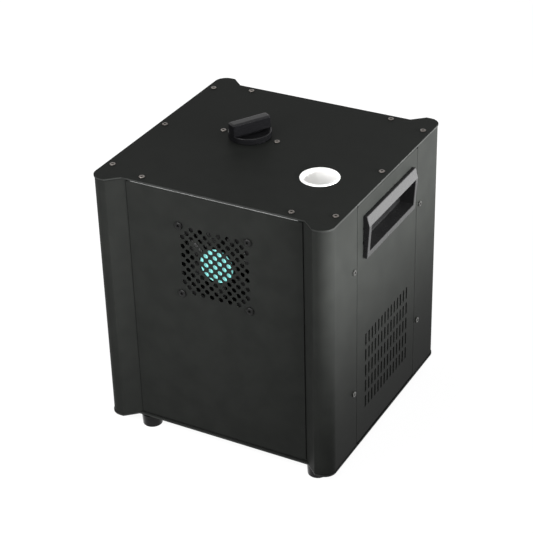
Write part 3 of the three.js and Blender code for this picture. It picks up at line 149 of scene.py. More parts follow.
COAT = finish("powder_coat", (0.0143, 0.0151, 0.0142), (0.0167, 0.0176, 0.0165), (0.42, 0.5),
              bump=0.35, specular=0.02)
# A paler coat on the crowns of the recessed panels' top folds: a painted highlight
FOLD_HIGHLIGHT_PAINT = finish("fold_highlight_paint", (0.07, 0.073, 0.07), (0.13, 0.135, 0.13), (0.3, 0.4), bump=0.15)
# A paler coat for the plates' edges: a painted highlight
PLATE_EDGE_HIGHLIGHT = finish("plate_edge_painted_highlight", (0.02, 0.021, 0.02), (0.03, 0.031, 0.03), (0.4, 0.5),
                    bump=0.15, specular=0.1)
# The top plate's copy of the powder coat: more matt, and darker than the sides' coat as painted shade
TOP_COAT_SHADED = finish("powder_coat_top_painted_shade", (0.0094, 0.0101, 0.0093), (0.0111, 0.0119, 0.0110),
                  (0.5, 0.6), bump=0.35, specular=0.03)
PLASTIC = finish("black_plastic", (0.014, 0.014, 0.014), (0.018, 0.018, 0.018), (0.32, 0.42),
                 grain=1400, bump=0.25)
CUP = finish("handle_plastic", (0.006, 0.006, 0.0062), (0.008, 0.008, 0.0082), (0.24, 0.3),
             grain=900, bump=0.03, specular=0.4)
GLOSS = finish("gloss_plastic", (0.004, 0.004, 0.0045), (0.005, 0.005, 0.0055), (0.22, 0.29),
               grain=300, bump=0.08, specular=0.22)
RUBBER = finish("rubber", (0.014, 0.014, 0.014), (0.02, 0.02, 0.02), (0.34, 0.44), grain=900, bump=0.3)
CERAMIC = finish("ceramic", (0.93, 0.925, 0.91), (0.95, 0.945, 0.935), (0.5, 0.65), grain=1600,
                 bump=0.1)
PALE = finish("pale_screw", (0.13, 0.117, 0.108), (0.2, 0.182, 0.168), (0.25, 0.38), metal=0.9,
              grain=2500)
DULL = finish("side_screw", (0.09, 0.09, 0.086), (0.14, 0.14, 0.134), (0.3, 0.42), metal=0.9,
              grain=2500)
STEEL = finish("steel", (0.38, 0.37, 0.36), (0.5, 0.49, 0.48), (0.28, 0.4), metal=1, grain=900)
FAN_FRAME = finish("fan_frame_plastic", (0.003, 0.003, 0.003), (0.005, 0.005, 0.005),
                   (0.4, 0.5), grain=1400, specular=0.08)
BLACK_SCREW = finish("black_screw", (0.011, 0.011, 0.011), (0.017, 0.017, 0.017), (0.3, 0.42),
                     metal=0.8, grain=2500)
FOOT = finish("black_foot", (0.014, 0.014, 0.014), (0.02, 0.02, 0.02), (0.14, 0.2), metal=1,
              grain=900, bump=0.1)
COPPER = finish("copper", (0.58, 0.3, 0.16), (0.72, 0.4, 0.24), (0.25, 0.4), metal=1)
ALUMINIUM = finish("aluminium", (0.5, 0.51, 0.52), (0.64, 0.65, 0.66), (0.3, 0.42), metal=1,
                   grain=1200)
DARK_CASE = finish("dark_case", (0.03, 0.03, 0.031), (0.045, 0.045, 0.046), (0.35, 0.5), metal=0.8,
                   grain=900)
TEAL = finish("fan_label", (0.24, 0.8, 0.78), (0.3, 0.85, 0.83), (0.35, 0.45))
# The label's emission is a painted glow: the sticker is no lamp
fill(TEAL.node_tree, TEAL.node_tree.nodes["Principled BSDF"], {
    "Emission Color": LABEL_PAINTED_GLOW[0],
    "Emission Strength": LABEL_PAINTED_GLOW[1],
})
BOARD = finish("circuit_board", (0.015, 0.13, 0.05), (0.02, 0.17, 0.07), (0.3, 0.4))
GLASS = finish("display_glass", (0.016, 0.02, 0.024), (0.022, 0.028, 0.032), (0.06, 0.1),
               bump=0, coat=0.5)
SOCKET = finish("signal_socket", (0.016, 0.016, 0.017), (0.022, 0.022, 0.023), (0.3, 0.4),
                metal=0.2, grain=1500)


# ---- Shapes: every part is (points, faces) in millimetres ----
STRAIGHT = 0.01  # radians from a straight angle, under which a corner isn't rounded
MITRE_LIMIT = 0.3  # keeps a sharp corner from running far out


def arc(cx, cy, radius, start, end, steps):
    return [(cx + radius * math.cos(start + (end - start) * i / steps),
             cy + radius * math.sin(start + (end - start) * i / steps)) for i in range(steps + 1)]


def circle(x, y, radius, sides=32, turn=0.0):
    return [(x + radius * math.cos(turn + TAU * i / sides), y + radius * math.sin(turn + TAU * i / sides))
            for i in range(sides)]


def rounded(width, height, radius, x=0.0, y=0.0, steps=8):
    a, b = width / 2 - radius, height / 2 - radius
    points = []
    for k, (sx, sy) in enumerate(((1, 1), (-1, 1), (-1, -1), (1, -1))):
        points += arc(x + sx * a, y + sy * b, radius, k * QUARTER, (k + 1) * QUARTER, steps)
    return points


def capsule(x, top, width, length, steps=8):
    r = width / 2
    return arc(x, top - r, r, 0, math.pi, steps) + arc(x, top - length + r, r, math.pi, TAU, steps)


def area(points):
    return sum(a[0] * b[1] - b[0] * a[1] for a, b in zip(points, points[1:] + points[:1])) / 2


def wound(points, sign):
    return points if area(points) * sign > 0 else points[::-1]


def filleted(points, radii, steps=6):
    """An open path with the given radius at each corner between its ends."""
    path = [points[0]]
    for before, here, after, radius in zip(points, points[1:], points[2:], radii):
        p, a, b = Vector(here), Vector(before), Vector(after)
        u, v = (a - p).normalized(), (b - p).normalized()
        half = math.acos(max(-1, min(1, u.dot(v)))) / 2
        if half > QUARTER - STRAIGHT:
            path.append(here)
            continue
        reach = radius / math.tan(half)
        centre = p + (u + v).normalized() * (radius / math.sin(half))
        first, last = p + u * reach - centre, p + v * reach - centre
        sweep = first.angle_signed(last)
        for i in range(steps + 1):
            c, s = math.cos(-sweep * i / steps), math.sin(-sweep * i / steps)
            path.append((centre.x + first.x * c - first.y * s, centre.y + first.x * s + first.y * c))
    path.append(points[-1])
    return path


def shrunk(points, distance):
    """A closed loop moved to its left by the distance."""
    result = []
    for before, here, after in zip(points[-1:] + points[:-1], points, points[1:] + points[:1]):
        d1 = (Vector(here) - Vector(before)).normalized()
        d2 = (Vector(after) - Vector(here)).normalized()
        n1, n2 = Vector((-d1.y, d1.x)), Vector((-d2.y, d2.x))
        shift = (n1 + n2) * (distance / max(MITRE_LIMIT, 1 + n1.dot(n2)))
        result.append((here[0] + shift.x, here[1] + shift.y))
    return result


def moved_left(path, distance):
    """An open path moved to its left by the distance."""
    result = []
    for i, here in enumerate(path):
        before, after = path[max(i - 1, 0)], path[min(i + 1, len(path) - 1)]
        d1 = (Vector(here) - Vector(before)) if i else (Vector(after) - Vector(here))
        d2 = (Vector(after) - Vector(here)) if i < len(path) - 1 else d1
        d1, d2 = d1.normalized(), d2.normalized()
        n1, n2 = Vector((-d1.y, d1.x)), Vector((-d2.y, d2.x))
        shift = (n1 + n2) * (distance / (1 + n1.dot(n2)))
        result.append((here[0] + shift.x, here[1] + shift.y))
    return result


def slab(loops, low, high, steps=3):
    """A flat solid from an outer loop and holes, each (points, edge radius)."""
    points, faces = [], []
    caps = {0: [], 1: []}
    for index, (loop, radius) in enumerate(loops):
        loop = wound(loop, 1 if index == 0 else -1)
        if radius == 0:
            rings = [(loop, low), (loop, high)]
        else:
            turns = [QUARTER * i / steps for i in range(steps + 1)]
            bends = [(radius * (1 - math.cos(t)), radius * (1 - math.sin(t))) for t in turns]
            rings = [(shrunk(loop, inset), low + rise) for inset, rise in reversed(bends)]
            rings += [(shrunk(loop, inset), high - rise) for inset, rise in bends]
        starts = []
        for ring, z in rings:
            starts.append(len(points))
            points += [(x, y, z) for x, y in ring]
        n = len(loop)
        for a, b in zip(starts, starts[1:]):
            faces += [(a + i, a + (i + 1) % n, b + (i + 1) % n, b + i) for i in range(n)]
        caps[0].append((starts[0], rings[0][0]))
        caps[1].append((starts[-1], rings[-1][0]))
    for side, members in caps.items():
        numbers = [start + i for start, ring in members for i in range(len(ring))]
        flat = [[Vector((x, y, 0)) for x, y in ring] for _, ring in members]
        places = [p for ring in flat for p in ring]
        for triangle in tessellate_polygon(flat):
            a, b, c = (places[i] for i in triangle)
            up = (b - a).cross(c - a).z > 0
            order = triangle if up == (side == 1) else tuple(reversed(triangle))
            faces.append(tuple(numbers[i] for i in order))
    return points, faces


def lathe(profile, sides=64, closed=False):
    """Turns (radius, height) points about Z; the profile runs so that solid lies on its left."""
    points, faces, rings = [], [], []
    for r, z in profile:
        rings.append((len(points), r == 0))
        points += [(0, 0, z)] if r == 0 else [
            (r * math.cos(TAU * i / sides), r * math.sin(TAU * i / sides), z) for i in range(sides)]
    pairs = list(zip(rings, rings[1:])) + ([(rings[-1], rings[0])] if closed else [])
    for (a, tip_a), (b, tip_b) in pairs:
        for i in range(sides):
            j = (i + 1) % sides
            if tip_a and tip_b:
                continue
            if tip_a:
                faces.append((a, b + j, b + i))
            elif tip_b:
                faces.append((a + i, a + j, b))
            else:
                faces.append((a + i, a + j, b + j, b + i))
    return points, faces


def swept(section, length):
    """A section of (out, up) points swept across a face, centred on X = 0."""
    points, faces = slab([(section, 0)], -length / 2, length / 2)
    return [(z, up, out) for out, up, z in points], faces


def shifted(part, x=0.0, y=0.0, z=0.0):
    return [(a + x, b + y, c + z) for a, b, c in part[0]], part[1]


def spun(part, angle):
    """The part turned about Z."""
    turn = Matrix.Rotation(angle, 3, "Z")
    return [tuple(turn @ Vector(p)) for p in part[0]], part[1]


def merged(*parts):
    points, faces = [], []
    for part in parts:
        start = len(points)
        points += part[0]
        faces += [tuple(start + i for i in face) for face in part[1]]
    return points, faces


def smooth_round(profile, radius, steps=4):
    """An open lathe profile with every corner between its ends rounded alike."""
    return filleted(profile, [radius] * (len(profile) - 2), steps)


# ---- Pieces ----
WELD = 0.002 * MM
FLAT_ANGLE = math.radians(0.5)
SHARP_ANGLE = math.radians(40)


def add(name, part, material, face="top", body="body", nodes=(), angle=35):
    """Makes a mesh of the part, laid on a face of the box."""
    matrix = FACES[face] * MM
    mesh = bpy.data.meshes.new(name)
    mesh.from_pydata([matrix @ Vector(p) for p in part[0]], [], part[1])
    mesh.validate()
    return dress(name, mesh, material, body, nodes, angle)


def dress(name, mesh, material, body, nodes, angle):
    """Shades a mesh, gives it its material, hangs it on its body and hides the nodes it replaces."""
    mesh.materials.clear()
    mesh.materials.append(material)
    mesh.shade_smooth()
    mesh.set_sharp_from_angle(angle=math.radians(angle))
    piece = bpy.data.objects.new(name, mesh)
    bpy.context.scene.collection.objects.link(piece)
    even = piece.modifiers.new("even_shading", "WEIGHTED_NORMAL")
    even.mode = "FACE_AREA"
    even.keep_sharp = True
    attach(piece, body)
    if nodes:
        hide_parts(*nodes)
    return piece


def refined(node, material, radius, steps=2, angle=35):
    """A welded copy of a CAD node with softened edges, which takes the node's place."""
    source = frame["nodes"][node]
    work = bmesh.new()
    work.from_mesh(source.data)
    bmesh.ops.remove_doubles(work, verts=work.verts, dist=WELD)
    bmesh.ops.dissolve_limit(work, angle_limit=FLAT_ANGLE, verts=work.verts, edges=work.edges)
    if radius:
        sharp = [e for e in work.edges if len(e.link_faces) == 2 and e.calc_face_angle(0) > SHARP_ANGLE]
        bmesh.ops.bevel(work, geom=sharp, offset=radius * MM, offset_type="OFFSET", segments=steps, profile=0.5,
                        affect="EDGES", clamp_overlap=True)
    mesh = bpy.data.meshes.new(node + "_fine")
    work.to_mesh(mesh)
    work.free()
    return dress(node + "_fine", mesh, material, source["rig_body"], (node,), angle)


# ---- Top and base plates ----
PLATE_ROUND = 0.35
PLATE_BEND = 1.2
HOPPER_HOLE = 18.3
NOZZLE_HOLE = 18.7
HOLE_ROUND = 0.3
# Size of the painted highlight film round the plates' edges
EDGE_HIGHLIGHT_PROUD = 0.03
EDGE_HIGHLIGHT_DEPTH = 0.3
EDGE_HIGHLIGHT_SHORT = 0.3


def quarter_outline():
    """From the middle of a side round the corner to the middle of an end."""
    flank_start, recess = SIDE - FACE_WIDTH, SIDE - FLANK_DEPTH
    bends = filleted([(SIDE - CORNER, SIDE), (flank_start, SIDE), (flank_start - FLANK_RUN, recess), (0, recess)],
                     [PLATE_BEND, PLATE_BEND], 4)
    return arc(SIDE - CORNER, SIDE - CORNER, CORNER, 0, QUARTER, 16)[:-1] + bends[:-1]


def plate_outline():
    quarter = quarter_outline()
    back = quarter[::-1]
    return quarter + [(-x, y) for x, y in back] + [(-x, -y) for x, y in quarter] + [(x, -y) for x, y in back]


add("top_plate_fine", slab([
    (plate_outline(), PLATE_ROUND),
    (circle(*HOPPER_AT, HOPPER_HOLE, 64), HOLE_ROUND),
    (circle(*NOZZLE_AT, NOZZLE_HOLE, 64), HOLE_ROUND),
], PLATE_UNDER, PLATE_TOP), TOP_COAT_SHADED, nodes=("top_plate",))
add("base_plate_fine", slab([(plate_outline(), PLATE_ROUND)], BASE_UNDER, BASE_TOP), COAT, nodes=("base_plate",))

# A film round each plate's edge, paler than the coat: a painted highlight along the edge
outline = wound(plate_outline(), 1)
film = [(shrunk(outline, -EDGE_HIGHLIGHT_PROUD), 0), (shrunk(outline, EDGE_HIGHLIGHT_DEPTH), 0)]
for name, low, high in (("plate", PLATE_UNDER, PLATE_TOP), ("base", BASE_UNDER, BASE_TOP)):
    add(f"{name}_edge", slab(film, low + EDGE_HIGHLIGHT_SHORT, high - EDGE_HIGHLIGHT_SHORT), PLATE_EDGE_HIGHLIGHT)


# ---- Corner posts ----
POST_WALL = 2
POST_FLANGE = 56
POST_ROUND = 0.12
FLANK_BENDS = (2, 1)
LIP_FACE = 107.9
LIP_END = 3
LIP_STRIP = (68, 78)
LIP_STRIP_SHORT = 1.7
BOSS_RADIUS = 3.6


def post_section():
    """A post's bent sheet: side flange, corner, front face, slanted flank and the end of its lip."""
    flank_start = POST_FACE - FACE_WIDTH
    flank_end = flank_start - FLANK_RUN * (POST_FACE - LIP_FACE) / FLANK_DEPTH
    outer = [(POST_FACE, POST_FACE - POST_FLANGE)]
    outer += arc(POST_FACE - CORNER, POST_FACE - CORNER, CORNER, 0, QUARTER, 20)
    outer += filleted([outer[-1], (flank_start, POST_FACE), (flank_end, LIP_FACE), (flank_end - LIP_END, LIP_FACE)],
                      FLANK_BENDS, 5)[1:]
    return outer + moved_left(outer, POST_WALL)[::-1]


def corner_post(sx, sy):
    """The bent sheet, a strip in line with its lip, and the boss for the top screw."""
    section = [(sx * x, sy * y) for x, y in post_section()]
    near, far = LIP_STRIP
    back = LIP_FACE - POST_WALL
    strip = [(sx * x, sy * y) for x, y in ((near, LIP_FACE), (far, LIP_FACE), (far, back), (near, back))]
    screw_x, screw_y = CORNER_SCREW_AT
    low, high = BASE_TOP + FIT, PLATE_UNDER - FIT
    return merged(
        slab([(section, POST_ROUND)], low, high, 2),
        slab([(strip, 0)], low + LIP_STRIP_SHORT, high - LIP_STRIP_SHORT),
        slab([(circle(sx * screw_x, sy * screw_y, BOSS_RADIUS, 24), 0)], low, high),
    )


for end, sy in ENDS:
    for hand, sx in HANDS:
        add(f"corner_post_{end}_{hand}_fine", corner_post(sx, sy), COAT, nodes=(f"corner_post_{end}_{hand}",),
            angle=30)


# ---- Folded sheets ----
PANEL_SHEET = {"wall": 1.2, "bend": 1.5, "flange": 14}
SIDE_SHEET = {"wall": 1.5, "bend": 1.8, "flange": 12}
SIDE_HALF = 64.9
SIDE_FOLD = 126.8
CUT_ROUND = 0.1  # the edge of a hole cut through a sheet
# Size of the painted highlight on a top fold's crown
FOLD_HIGHLIGHT_SHORT = 3
FOLD_HIGHLIGHT_PROUD = 0.04
FOLD_HIGHLIGHT_DEPTH = 0.1
FOLD_HIGHLIGHT_SPAN = (0.2, 0.8)


def fold(length, edge, inward, wall, bend, flange):
    """A quarter bend along a sheet's edge and the flange behind it."""
    centre = edge + inward * bend
    quarter = -inward * QUARTER
    section = arc(-bend, centre, bend, 0, quarter, 10) + [(-flange, edge), (-flange, edge + inward * wall)]
    section += arc(-bend, centre, bend - wall, quarter, 0, 10)
    return swept(section, length)


def folded_sheet(half, fold_length, sizes, holes, *laps):
    """An upright sheet with its outer face at Z = 0, folded back along its top and its foot."""
    wall, bend = sizes["wall"], sizes["bend"]
    low, high = SHEET_LOW + bend, SHEET_HIGH - bend
    outline = [(-half, low), (half, low), (half, high), (-half, high)]
    flat = slab([(outline, 0)] + holes, -wall, 0, 2)
    folds = [fold(fold_length, edge, inward, **sizes) for edge, inward in ((SHEET_HIGH, -1), (SHEET_LOW, 1))]
    return merged(flat, *folds, *laps)


def recessed_sheet(holes):
    return shifted(folded_sheet(PANEL_HALF, 2 * FOLD_HALF, PANEL_SHEET, holes), z=PANEL_FACE)


def painted_fold_highlight():
    """A film on the crown of a recessed panel's top fold, paler than the coat: a painted highlight along the bend."""
    bend = PANEL_SHEET["bend"]
    start, end = (QUARTER * share for share in FOLD_HIGHLIGHT_SPAN)
    section = arc(-bend, SHEET_HIGH - bend, bend + FOLD_HIGHLIGHT_PROUD, start, end, 8)
    section += arc(-bend, SHEET_HIGH - bend, bend - FOLD_HIGHLIGHT_DEPTH, end, start, 8)
    return shifted(swept(section, 2 * FOLD_HALF - FOLD_HIGHLIGHT_SHORT), z=PANEL_FACE)


for side in ("fan", "control"):
    add(f"painted_fold_highlight_{side}", painted_fold_highlight(), FOLD_HIGHLIGHT_PAINT, side)


# ---- Fan panel ----
GRILLE_CELLS = 15
GRILLE_CELL = 4.75
GRILLE_HOLE = 2.5
GRILLE_ROUND = 0.14
FAN_SCREW_AT = 35.75
FAN_SCREW_HOLE = 2.1
FAN_SCREWS = [(sx * FAN_SCREW_AT, sy * FAN_SCREW_AT) for sx in SIGNS for sy in SIGNS]


def grille_holes():
    """A checkerboard of round holes, its corner cells left out."""
    last = GRILLE_CELLS - 1
    holes = []
    for i in range(GRILLE_CELLS):
        for j in range(GRILLE_CELLS):
            if (i + j) % 2 == 0 and not (i in (0, last) and j in (0, last)):
                x, z = (i - last / 2) * GRILLE_CELL, FAN_Z + (j - last / 2) * GRILLE_CELL
                holes.append((circle(x, z, GRILLE_HOLE, 28), GRILLE_ROUND))
    return holes


fan_holes = [(circle(x, FAN_Z + y, FAN_SCREW_HOLE, 20), CUT_ROUND) for x, y in FAN_SCREWS]
add("fan_panel_fine", recessed_sheet(grille_holes() + fan_holes), COAT, "fan", nodes=("fan_panel",))


# ---- Side panels and handle cups ----
SLOT_COLUMNS = 14
SLOT_ROWS = 5
SLOT_PITCH = (7.06, 17.38)
SLOT_TOP = 130.6
SLOT_SIZE = (2.9, 13.8)
SLOT_ROUND = 0.12
HANDLE_HOLE = {"width": 100.6, "height": 36.6, "radius": 1, "y": 237}
LAP = {"width": 20, "height": 246, "radius": 1, "y": 144.5}
LAP_AT = 73
LAP_DEPTHS = (-3.8, -2.3)

# Half widths, and heights above the floor, of the handle cup
HANDLE_HALF = 53
MOUTH_HALF = 48
SKIRT_HALF = 50
HANDLE_LOW = 215
SKIRT_LOW = 219
MOUTH_LOW = 221
RIDGE = 247.7
POCKET_HIGH = 253
SKIRT_HIGH = 255
HANDLE_HIGH = 258
# How far the bezel and the hood's inside stand proud of the side panel, and how far the rest goes in
BEZEL_PROUD = {HANDLE_LOW: 4, MOUTH_LOW: 4.42, RIDGE: 6.3, HANDLE_HIGH: 3.7}
HOOD_INSIDE = {RIDGE: 4.4, POCKET_HIGH: 3.06}
POCKET_BACK = -10
SKIRT_BACK = -12
HANDLE_ROUND = 0.4


def side_sheet():
    """The side panel: handle opening, rows of upright slots, and laps behind the posts' flanges."""
    holes = [(rounded(**HANDLE_HOLE), CUT_ROUND)]
    for row in range(SLOT_ROWS):
        for column in range(SLOT_COLUMNS):
            x = (column - (SLOT_COLUMNS - 1) / 2) * SLOT_PITCH[0]
            holes.append((capsule(x, SLOT_TOP - SLOT_PITCH[1] * row, *SLOT_SIZE), SLOT_ROUND))
    laps = [slab([(rounded(x=s * LAP_AT, **LAP), 0)], *LAP_DEPTHS) for s in SIGNS]
    return shifted(folded_sheet(SIDE_HALF, SIDE_FOLD, SIDE_SHEET, holes, *laps), z=POST_FACE)


def handle_cup():
    """A bezel with a sloped hood and a pocket under its lip, closed behind."""
    points, faces, index = [], [], {}

    def at(x, y, out):
        key = (x, y, round(out, 4))
        if key not in index:
            index[key] = len(points)
            points.append(key)
        return index[key]

    across = (-HANDLE_HALF, -MOUTH_HALF, MOUTH_HALF, HANDLE_HALF)
    up = (HANDLE_LOW, MOUTH_LOW, RIDGE, HANDLE_HIGH)
    for i, (left, right) in enumerate(zip(across, across[1:])):
        for j, (low, high) in enumerate(zip(up, up[1:])):
            if (i, j) != (1, 1):
                corners = ((left, low), (right, low), (right, high), (left, high))
                faces.append([at(x, y, BEZEL_PROUD[y]) for x, y in corners])

    # The bezel's rim, its back and the skirt that goes in through the panel
    rim = [(x, HANDLE_LOW) for x in across] + [(HANDLE_HALF, y) for y in up[1:]]
    rim += [(x, HANDLE_HIGH) for x in across[2::-1]] + [(-HANDLE_HALF, y) for y in up[2:0:-1]]
    skirt = {x: x for x in (-MOUTH_HALF, MOUTH_HALF, MOUTH_LOW, RIDGE)}
    skirt.update({-HANDLE_HALF: -SKIRT_HALF, HANDLE_HALF: SKIRT_HALF, HANDLE_LOW: SKIRT_LOW, HANDLE_HIGH: SKIRT_HIGH})
    for (ax, ay), (bx, by) in zip(rim, rim[1:] + rim[:1]):
        a, b = (skirt[ax], skirt[ay]), (skirt[bx], skirt[by])
        faces.append([at(ax, ay, BEZEL_PROUD[ay]), at(bx, by, BEZEL_PROUD[by]), at(bx, by, 0), at(ax, ay, 0)])
        faces.append([at(ax, ay, 0), at(bx, by, 0), at(*b, 0), at(*a, 0)])
        faces.append([at(*a, 0), at(*b, 0), at(*b, SKIRT_BACK), at(*a, SKIRT_BACK)])
    faces.append([at(skirt[x], skirt[y], SKIRT_BACK) for x, y in rim])

    # The pocket: its ends, then its walls, all but the open mouth
    section = [(y, BEZEL_PROUD[y]) for y in (MOUTH_LOW, RIDGE)] + list(HOOD_INSIDE.items())
    section += [(POCKET_HIGH, POCKET_BACK), (MOUTH_LOW, POCKET_BACK)]
    for x in (-MOUTH_HALF, MOUTH_HALF):
        faces.append([at(x, y, out) for y, out in section])
    for (y, out), (y2, out2) in list(zip(section, section[1:] + section[:1]))[1:]:
        faces.append([at(-MOUTH_HALF, y, out), at(MOUTH_HALF, y, out),
                      at(MOUTH_HALF, y2, out2), at(-MOUTH_HALF, y2, out2)])
    return outward(points, faces)


def outward(points, faces):
    """The same closed surface with every face looking out."""
    work = bmesh.new()
    corners = [work.verts.new(p) for p in points]
    for face in faces:
        work.faces.new([corners[i] for i in face])
    bmesh.ops.recalc_face_normals(work, faces=work.faces)
    work.verts.index_update()
    solid = [tuple(v.co) for v in work.verts], [tuple(v.index for v in face.verts) for face in work.faces]
    work.free()
    return solid


for hand in ("right", "left"):
    add(f"side_panel_{hand}_fine", side_sheet(), COAT, hand, nodes=(f"side_panel_{hand}",))
    cup = add(f"handle_cup_{hand}_fine", shifted(handle_cup(), z=POST_FACE), CUP, hand,
              nodes=(f"handle_cup_{hand}",), angle=12)
    edge = cup.modifiers.new("edge", "BEVEL")
    edge.width = HANDLE_ROUND * MM
    edge.segments = 2
    edge.limit_method = "ANGLE"
    edge.angle_limit = math.radians(30)
    cup.modifiers.move(len(cup.modifiers) - 1, 0)


# ---- Fan: about its own axis, with the front of its frame, rotor or label at Z = 0 ----
FAN_FRAME_FACE = 107.9
FAN_ROTOR_FACE = 102.6
FAN_LABEL_FACE = 105.9
FAN_SIZE = 80
FAN_CORNER = 5
FAN_DEPTH = 25
FAN_FLANGE = 4
FAN_ROUND = 0.4
FAN_BORE = 38.4
DUCT_INNER = 38.2
DUCT_OUTER = 39.6
STRUT_COUNT = 4
STRUT = {"width": 22, "height": 4, "radius": 0.6, "x": 28.2}
STRUT_BACK = -5
STRUT_FRONT = -2.2
LABEL_RADIUS = 17

BLADE_COUNT = 7
BLADE_ROWS = 8
BLADE_COLUMNS = 12
BLADE_ROOT = 16
BLADE_TIP = 37.2
PITCH_AT_ROOT = 46
PITCH_LOST = 17
CHORD_AT_ROOT = 20
CHORD_GAINED = 5
BLADE_CAMBER = 3
BLADE_THICKNESS = 1.2
BLADE_NOSE = 6
BLADE_BACK = 2
BLADE_REACH = 8
BLADE_MIDDLE = -9


def ring_profile(inner, outer, low, high, radius):
    """A closed ring section with cut corners."""
    r = radius
    return [(inner, low + r), (inner + r, low), (outer - r, low), (outer, low + r), (outer, high - r),
            (outer - r, high), (inner + r, high), (inner, high - r)]


def fan_frame():
    """Two flanges, the duct between them, the hub's plate and its struts."""
    holes = [(circle(x, y, FAN_SCREW_HOLE, 20), CUT_ROUND) for x, y in FAN_SCREWS]
    flange = [(rounded(FAN_SIZE, FAN_SIZE, FAN_CORNER), FAN_ROUND), (circle(0, 0, FAN_BORE, 72), HOLE_ROUND), *holes]
    strut = slab([(rounded(**STRUT), HOLE_ROUND)], STRUT_BACK, STRUT_FRONT)
    return merged(
        slab(flange, -FAN_FLANGE, 0),
        slab(flange, -FAN_DEPTH, FAN_FLANGE - FAN_DEPTH),
        lathe(ring_profile(DUCT_INNER, DUCT_OUTER, -FAN_DEPTH, 0, FAN_ROUND), 72, True),
        lathe([(0, STRUT_BACK), (18.5, STRUT_BACK), (18.5, -2.3), (18.2, -2), (0, -2)], 48),
        *[spun(strut, TAU * (k + 0.5) / STRUT_COUNT) for k in range(STRUT_COUNT)],
    )


def fan_blade():
    """One cambered, twisted blade on the rotor's own axis."""
    points, faces = [], []
    for side in (0, 1):
        for i in range(BLADE_ROWS + 1):
            share = i / BLADE_ROWS
            radius = BLADE_ROOT + (BLADE_TIP - BLADE_ROOT) * share
            pitch = math.radians(PITCH_AT_ROOT - PITCH_LOST * share)
            chord = CHORD_AT_ROOT + CHORD_GAINED * share
            for j in range(BLADE_COLUMNS + 1):
                t = 2 * j / BLADE_COLUMNS - 1
                along = t * chord / 2
                up = BLADE_CAMBER * (1 - t ** 2) + side * BLADE_THICKNESS * (1 - t ** BLADE_NOSE) - BLADE_BACK
                turn = (along * math.cos(pitch) - up * math.sin(pitch)) / radius
                height = along * math.sin(pitch) + up * math.cos(pitch)
                height = max(-BLADE_REACH, min(BLADE_REACH, height)) + BLADE_MIDDLE
                points.append((radius * math.cos(turn), radius * math.sin(turn), height))
    wide = BLADE_COLUMNS + 1
    half = (BLADE_ROWS + 1) * wide
    for i in range(BLADE_ROWS):
        for j in range(BLADE_COLUMNS):
            a = i * wide + j
            faces.append((a, a + wide, a + wide + 1, a + 1))
            faces.append((half + a, half + a + 1, half + a + wide + 1, half + a + wide))
    rim = [i * wide for i in range(BLADE_ROWS + 1)] + [BLADE_ROWS * wide + j for j in range(1, wide)]
    rim += [i * wide + BLADE_COLUMNS for i in range(BLADE_ROWS - 1, -1, -1)] + list(range(BLADE_COLUMNS - 1, 0, -1))
    for a, b in zip(rim, rim[1:] + rim[:1]):
        faces.append((a, b, half + b, half + a))
    return points, faces


def fan_rotor():
    hub = lathe([(0, -18), (16.5, -18), (17.5, -17), (17.5, -1.4), (17.1, -0.5), (16.3, 0), (0, 0)], 64)
    shaft = lathe([(0, 0), (1.7, 0), (1.7, 2.3), (0, 2.3)], 20)
    return merged(hub, shaft, *[spun(fan_blade(), TAU * k / BLADE_COUNT) for k in range(BLADE_COUNT)])


fan_label = lathe([(0, 0), (LABEL_RADIUS, 0), (LABEL_RADIUS, 0.3), (LABEL_RADIUS - 0.1, 0.4), (0, 0.4)], 64)
add("fan_frame_fine", shifted(fan_frame(), 0, FAN_Z, FAN_FRAME_FACE), FAN_FRAME, "fan", nodes=("fan_frame",))
add("fan_rotor_fine", shifted(fan_rotor(), 0, FAN_Z, FAN_ROTOR_FACE), PLASTIC, "fan", "fan_rotor", ("fan_rotor",),
    50)
add("fan_label_fine", shifted(fan_label, 0, FAN_Z, FAN_LABEL_FACE), TEAL, "fan", nodes=("fan_label",))


# ---- Screws ----
SOCKET_SIDES = 6
SOCKET_TURN = 0.3
SOCKET_ROUND = 0.12
FAN_SCREW = {"radius": 3.8, "height": 2.2, "edge": 1.1, "socket": 1.5, "depth": 1.3}
TOP_SCREW = {"radius": 2.8, "height": 1, "edge": 0.6, "socket": 1.35, "depth": 1.9}
SIDE_SCREW = {"radius": 2.8, "height": 1.5, "edge": 0.7, "socket": 1.35, "depth": 2.4}
FLANGE_SCREW = {"radius": 2.6, "height": 0.9, "edge": 0.5, "socket": 1.1, "depth": 0.7}
END_SCREWS_AT = (76.4, 103.3)
MIDDLE_SCREW_X = 114.7
CAP_SCREW_REACH = 28.9
SIDE_SCREW_Y = 72
SIDE_SCREW_HEIGHTS = (78.5, 210)


def screw_head(radius, height, edge, socket, depth):
    """A round head with a hexagonal socket, seated at Z = 0."""
    hexagon = circle(0, 0, socket, SOCKET_SIDES, SOCKET_TURN)
    head = slab([(circle(0, 0, radius, 32), edge), (hexagon, SOCKET_ROUND)], 0, height)
    return merged(head, slab([(hexagon, 0)], 0, height - depth))


for k, (sx, sy) in enumerate(((-1, -1), (1, -1), (1, 1), (-1, 1))):
    shank = lathe([(0, -8), (1.8, -8), (1.8, 0), (0, 0)], 16)
    screw = shifted(merged(screw_head(**FAN_SCREW), shank), sx * FAN_SCREW_AT, FAN_Z + sy * FAN_SCREW_AT, PANEL_FACE)
    add(f"fan_screw_{k + 1}_fine", screw, BLACK_SCREW, "fan", nodes=(f"fan_screw_{k + 1}",))

for end, sy in ENDS:
    for hand, sx in HANDS:
        screw = shifted(screw_head(**TOP_SCREW), sx * CORNER_SCREW_AT[0], sy * CORNER_SCREW_AT[1], PLATE_TOP)
        add(f"top_screw_{end}_{hand}_fine", screw, PALE, nodes=(f"top_screw_{end}_{hand}",))

